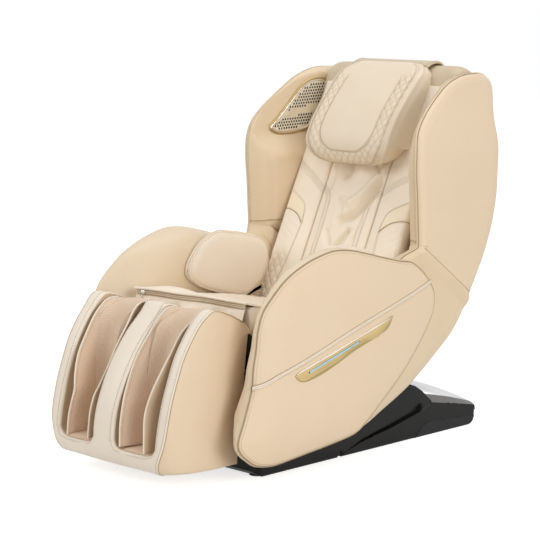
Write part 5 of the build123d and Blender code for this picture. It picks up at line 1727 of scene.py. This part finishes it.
def makeApron():
    # a loose curtain of leather: gathers run down it and swell over the leg rest's edge
    columns, rows = apron["columns"], apron["rows"]
    x = np.linspace(-222, 222, columns)
    y, z = zipLine(x, 8.5)
    down = np.linspace(0, 1, rows)[:, None]
    swell = np.sin(np.clip(down * 1.25, 0, 1) * math.pi)**0.8
    folds = (3.2 * np.sin(x / 27 + 0.6) + 2.6 * np.sin(x / 13.5 + 1.9 + down * 2.2)
             + 1.3 * np.sin(x / 6.1 + down * 3)
             + 2.8 * np.exp(-((x - 60 + down * 90) / 20)**2)
             + 4 * np.exp(-((x - 165 + down * 60) / 16)**2)
             + 3.6 * np.exp(-((x + 40 - down * 70) / 24)**2))
    bulge = swell * (8.5 + folds) + 1.5
    py = y[None, :] + 1.0 - bulge
    pz = (z[None, :] + (apron["low"] - z[None, :]) * down
          + 2.2 * np.sin(x / 19 + down * 4) * np.sin(down * math.pi))
    front = np.stack([np.broadcast_to(x, py.shape), py, pz], axis=-1).reshape(-1, 3)
    rear = front + np.array([0, apron["thick"], 0])
    faces = sheetFaces(rows, columns, turned=True)
    piece = makeMesh("apron", np.vstack([front, rear]), faces, [backLeather])
    piece.name = "apron_cloth"
    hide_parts("apron")
    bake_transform(piece)


makeApron()
print("seat made")


# base: a cradle-shaped deck, a polished rear top with a bevel round it, grooved sides and a kick panel

base = {
    "front": -300, "rear": 635, "side": 266, "deck": 806,
    "top": [(300, 141), (338, 161), (357, 154), (383, 137), (396, 125), (424, 119), (513, 98),
            (608, 71), (623, 64), (630, 50), (635, 40)],
    "under": [(-300, 14), (-290, 4), (-280, 0), (596, 0), (606, 2), (614, 8), (623, 26), (635, 38)],
    "bevel": [(396, 124), (417, 97), (494, 83), (621, 58), (635, 39)],
    "facet": [(325, 158), (338, 163), (357, 156), (383, 139), (397, 126), (419, 103), (415, 91),
              (395, 84), (376, 77), (380, 100), (368, 116)],
    "groove": [(28, 4), (110, 34), (252, 66), (372, 101), (377, 92), (370, 77), (252, 52), (110, 28),
               (34, 8)],
    "grooveEnd": [(20, -2), (20, 10), (26, 18), (34, 16), (36, -2)],
    "kick": [(344, -2), (377, 28), (394, 36), (411, 40), (514, 33), (628, 26), (640, -2)],
    "crown": 33, "levels": 64, "step": 3.0,
    # finish numbers: 0 satin, 1 gloss, 2 kick, 3 hollow, 4 lip, 5 bevel
}


def baseTop(y):
    arc = base["deck"]**2 - np.minimum(np.abs(y - cradle["y"]), base["deck"])**2
    deck = cradle["z"] - np.sqrt(arc)
    tops = np.array(base["top"], float)
    return np.where(y < 330, np.minimum(deck, 158), np.interp(y, tops[:, 0], tops[:, 1]))


def makeBase():
    ys = np.concatenate([np.arange(base["front"], 610, base["step"]), np.linspace(610, base["rear"], 16)])
    unders = np.array(base["under"], float)
    levels = base["levels"]
    polygons = {name: np.array(base[name], float) for name in ("facet", "groove", "grooveEnd", "kick")}
    bevels = np.array(base["bevel"], float)
    deckX = np.concatenate([[0.985, 0.96, 0.92], np.linspace(0.85, 0, 16)])
    rings, kinds = [], []
    for y in ys:
        top, low = float(baseTop(np.array([y]))[0]), float(np.interp(y, unders[:, 0], unders[:, 1]))
        top = max(top, low + 1.0)
        z = low + (top - low) * np.linspace(0, 1, levels)
        spots = np.column_stack([np.full(levels, y), z])
        x = np.full(levels, float(base["side"]))
        kind = np.zeros(levels, int)
        kick = inside(spots, polygons["kick"])
        x += kick * 1.6
        kind[kick] = 2
        # the grooves take the near-black plastic: painted shade in the recess
        hollow = inside(spots, polygons["groove"]) | inside(spots, polygons["grooveEnd"])
        x -= hollow * 16
        kind[hollow] = 3
        facet = inside(spots, polygons["facet"])
        x = np.where(facet, base["side"] + 2.5 - 11 * np.clip((z - 80) / 80, 0, 1), x)
        kind[facet] = 4
        if y > 397:
            line = float(np.interp(y, bevels[:, 0], bevels[:, 1]))
            strip = (z >= line) & ~facet
            share = np.clip((z - line) / max(top - line, 1), 0, 1)
            x = np.where(strip, base["side"] + 3 - 12 * share, x)
            kind[strip] = 5
        above = ~facet & (y <= 397)
        x = np.where(above & ~hollow, x - edgeDrop(top - z, 7) * 0.8, x)
        x -= np.where(z - low < 3, 3 - (z - low), 0)
        end = 1 - 0.03 * eased(y, 618, 635) - 0.05 * eased(-y, 285, 300)
        right = [(0, low), (130, low), (x[0] - 8, low)] + list(zip(x * end, z))
        crown = base["crown"] * eased(y, 396, 600) * 0.97 * (1 - eased(y, 622, 636) * 0.85)
        edge = right[-1][0]
        for share in deckX:
            lift = crown * (1 - share**2) - (1.2 if y > 398 and share > 0.97 else 0)
            right.append((edge * share, top + lift))
        kind = [0, 0, 0] + list(kind) + [1] * len(deckX)
        left = [(-a, b) for a, b in right[-2:0:-1]]
        rings.append([(a, y, b) for a, b in right + left])
        kinds.append(kind + kind[-2:0:-1])
    kinds = np.array(kinds)
    kinds[(kinds == 1) & (ys <= 396)[:, None]] = 0  # only the rear top is glossy
    plastics = [satinPlastic, glossPlastic, kickPlastic, hollowPlastic, lipPlastic, bevelPlastic]
    piece = ringSolid("base_cover", np.array(rings), plastics, kinds[:-1])
    piece.data.set_sharp_from_angle(angle=math.radians(28))
    rides(piece, "base", "black_gloss_plastic", "base_cover", "base_skirt")
    piece.name = "base_shell"


makeBase()
print("base made")
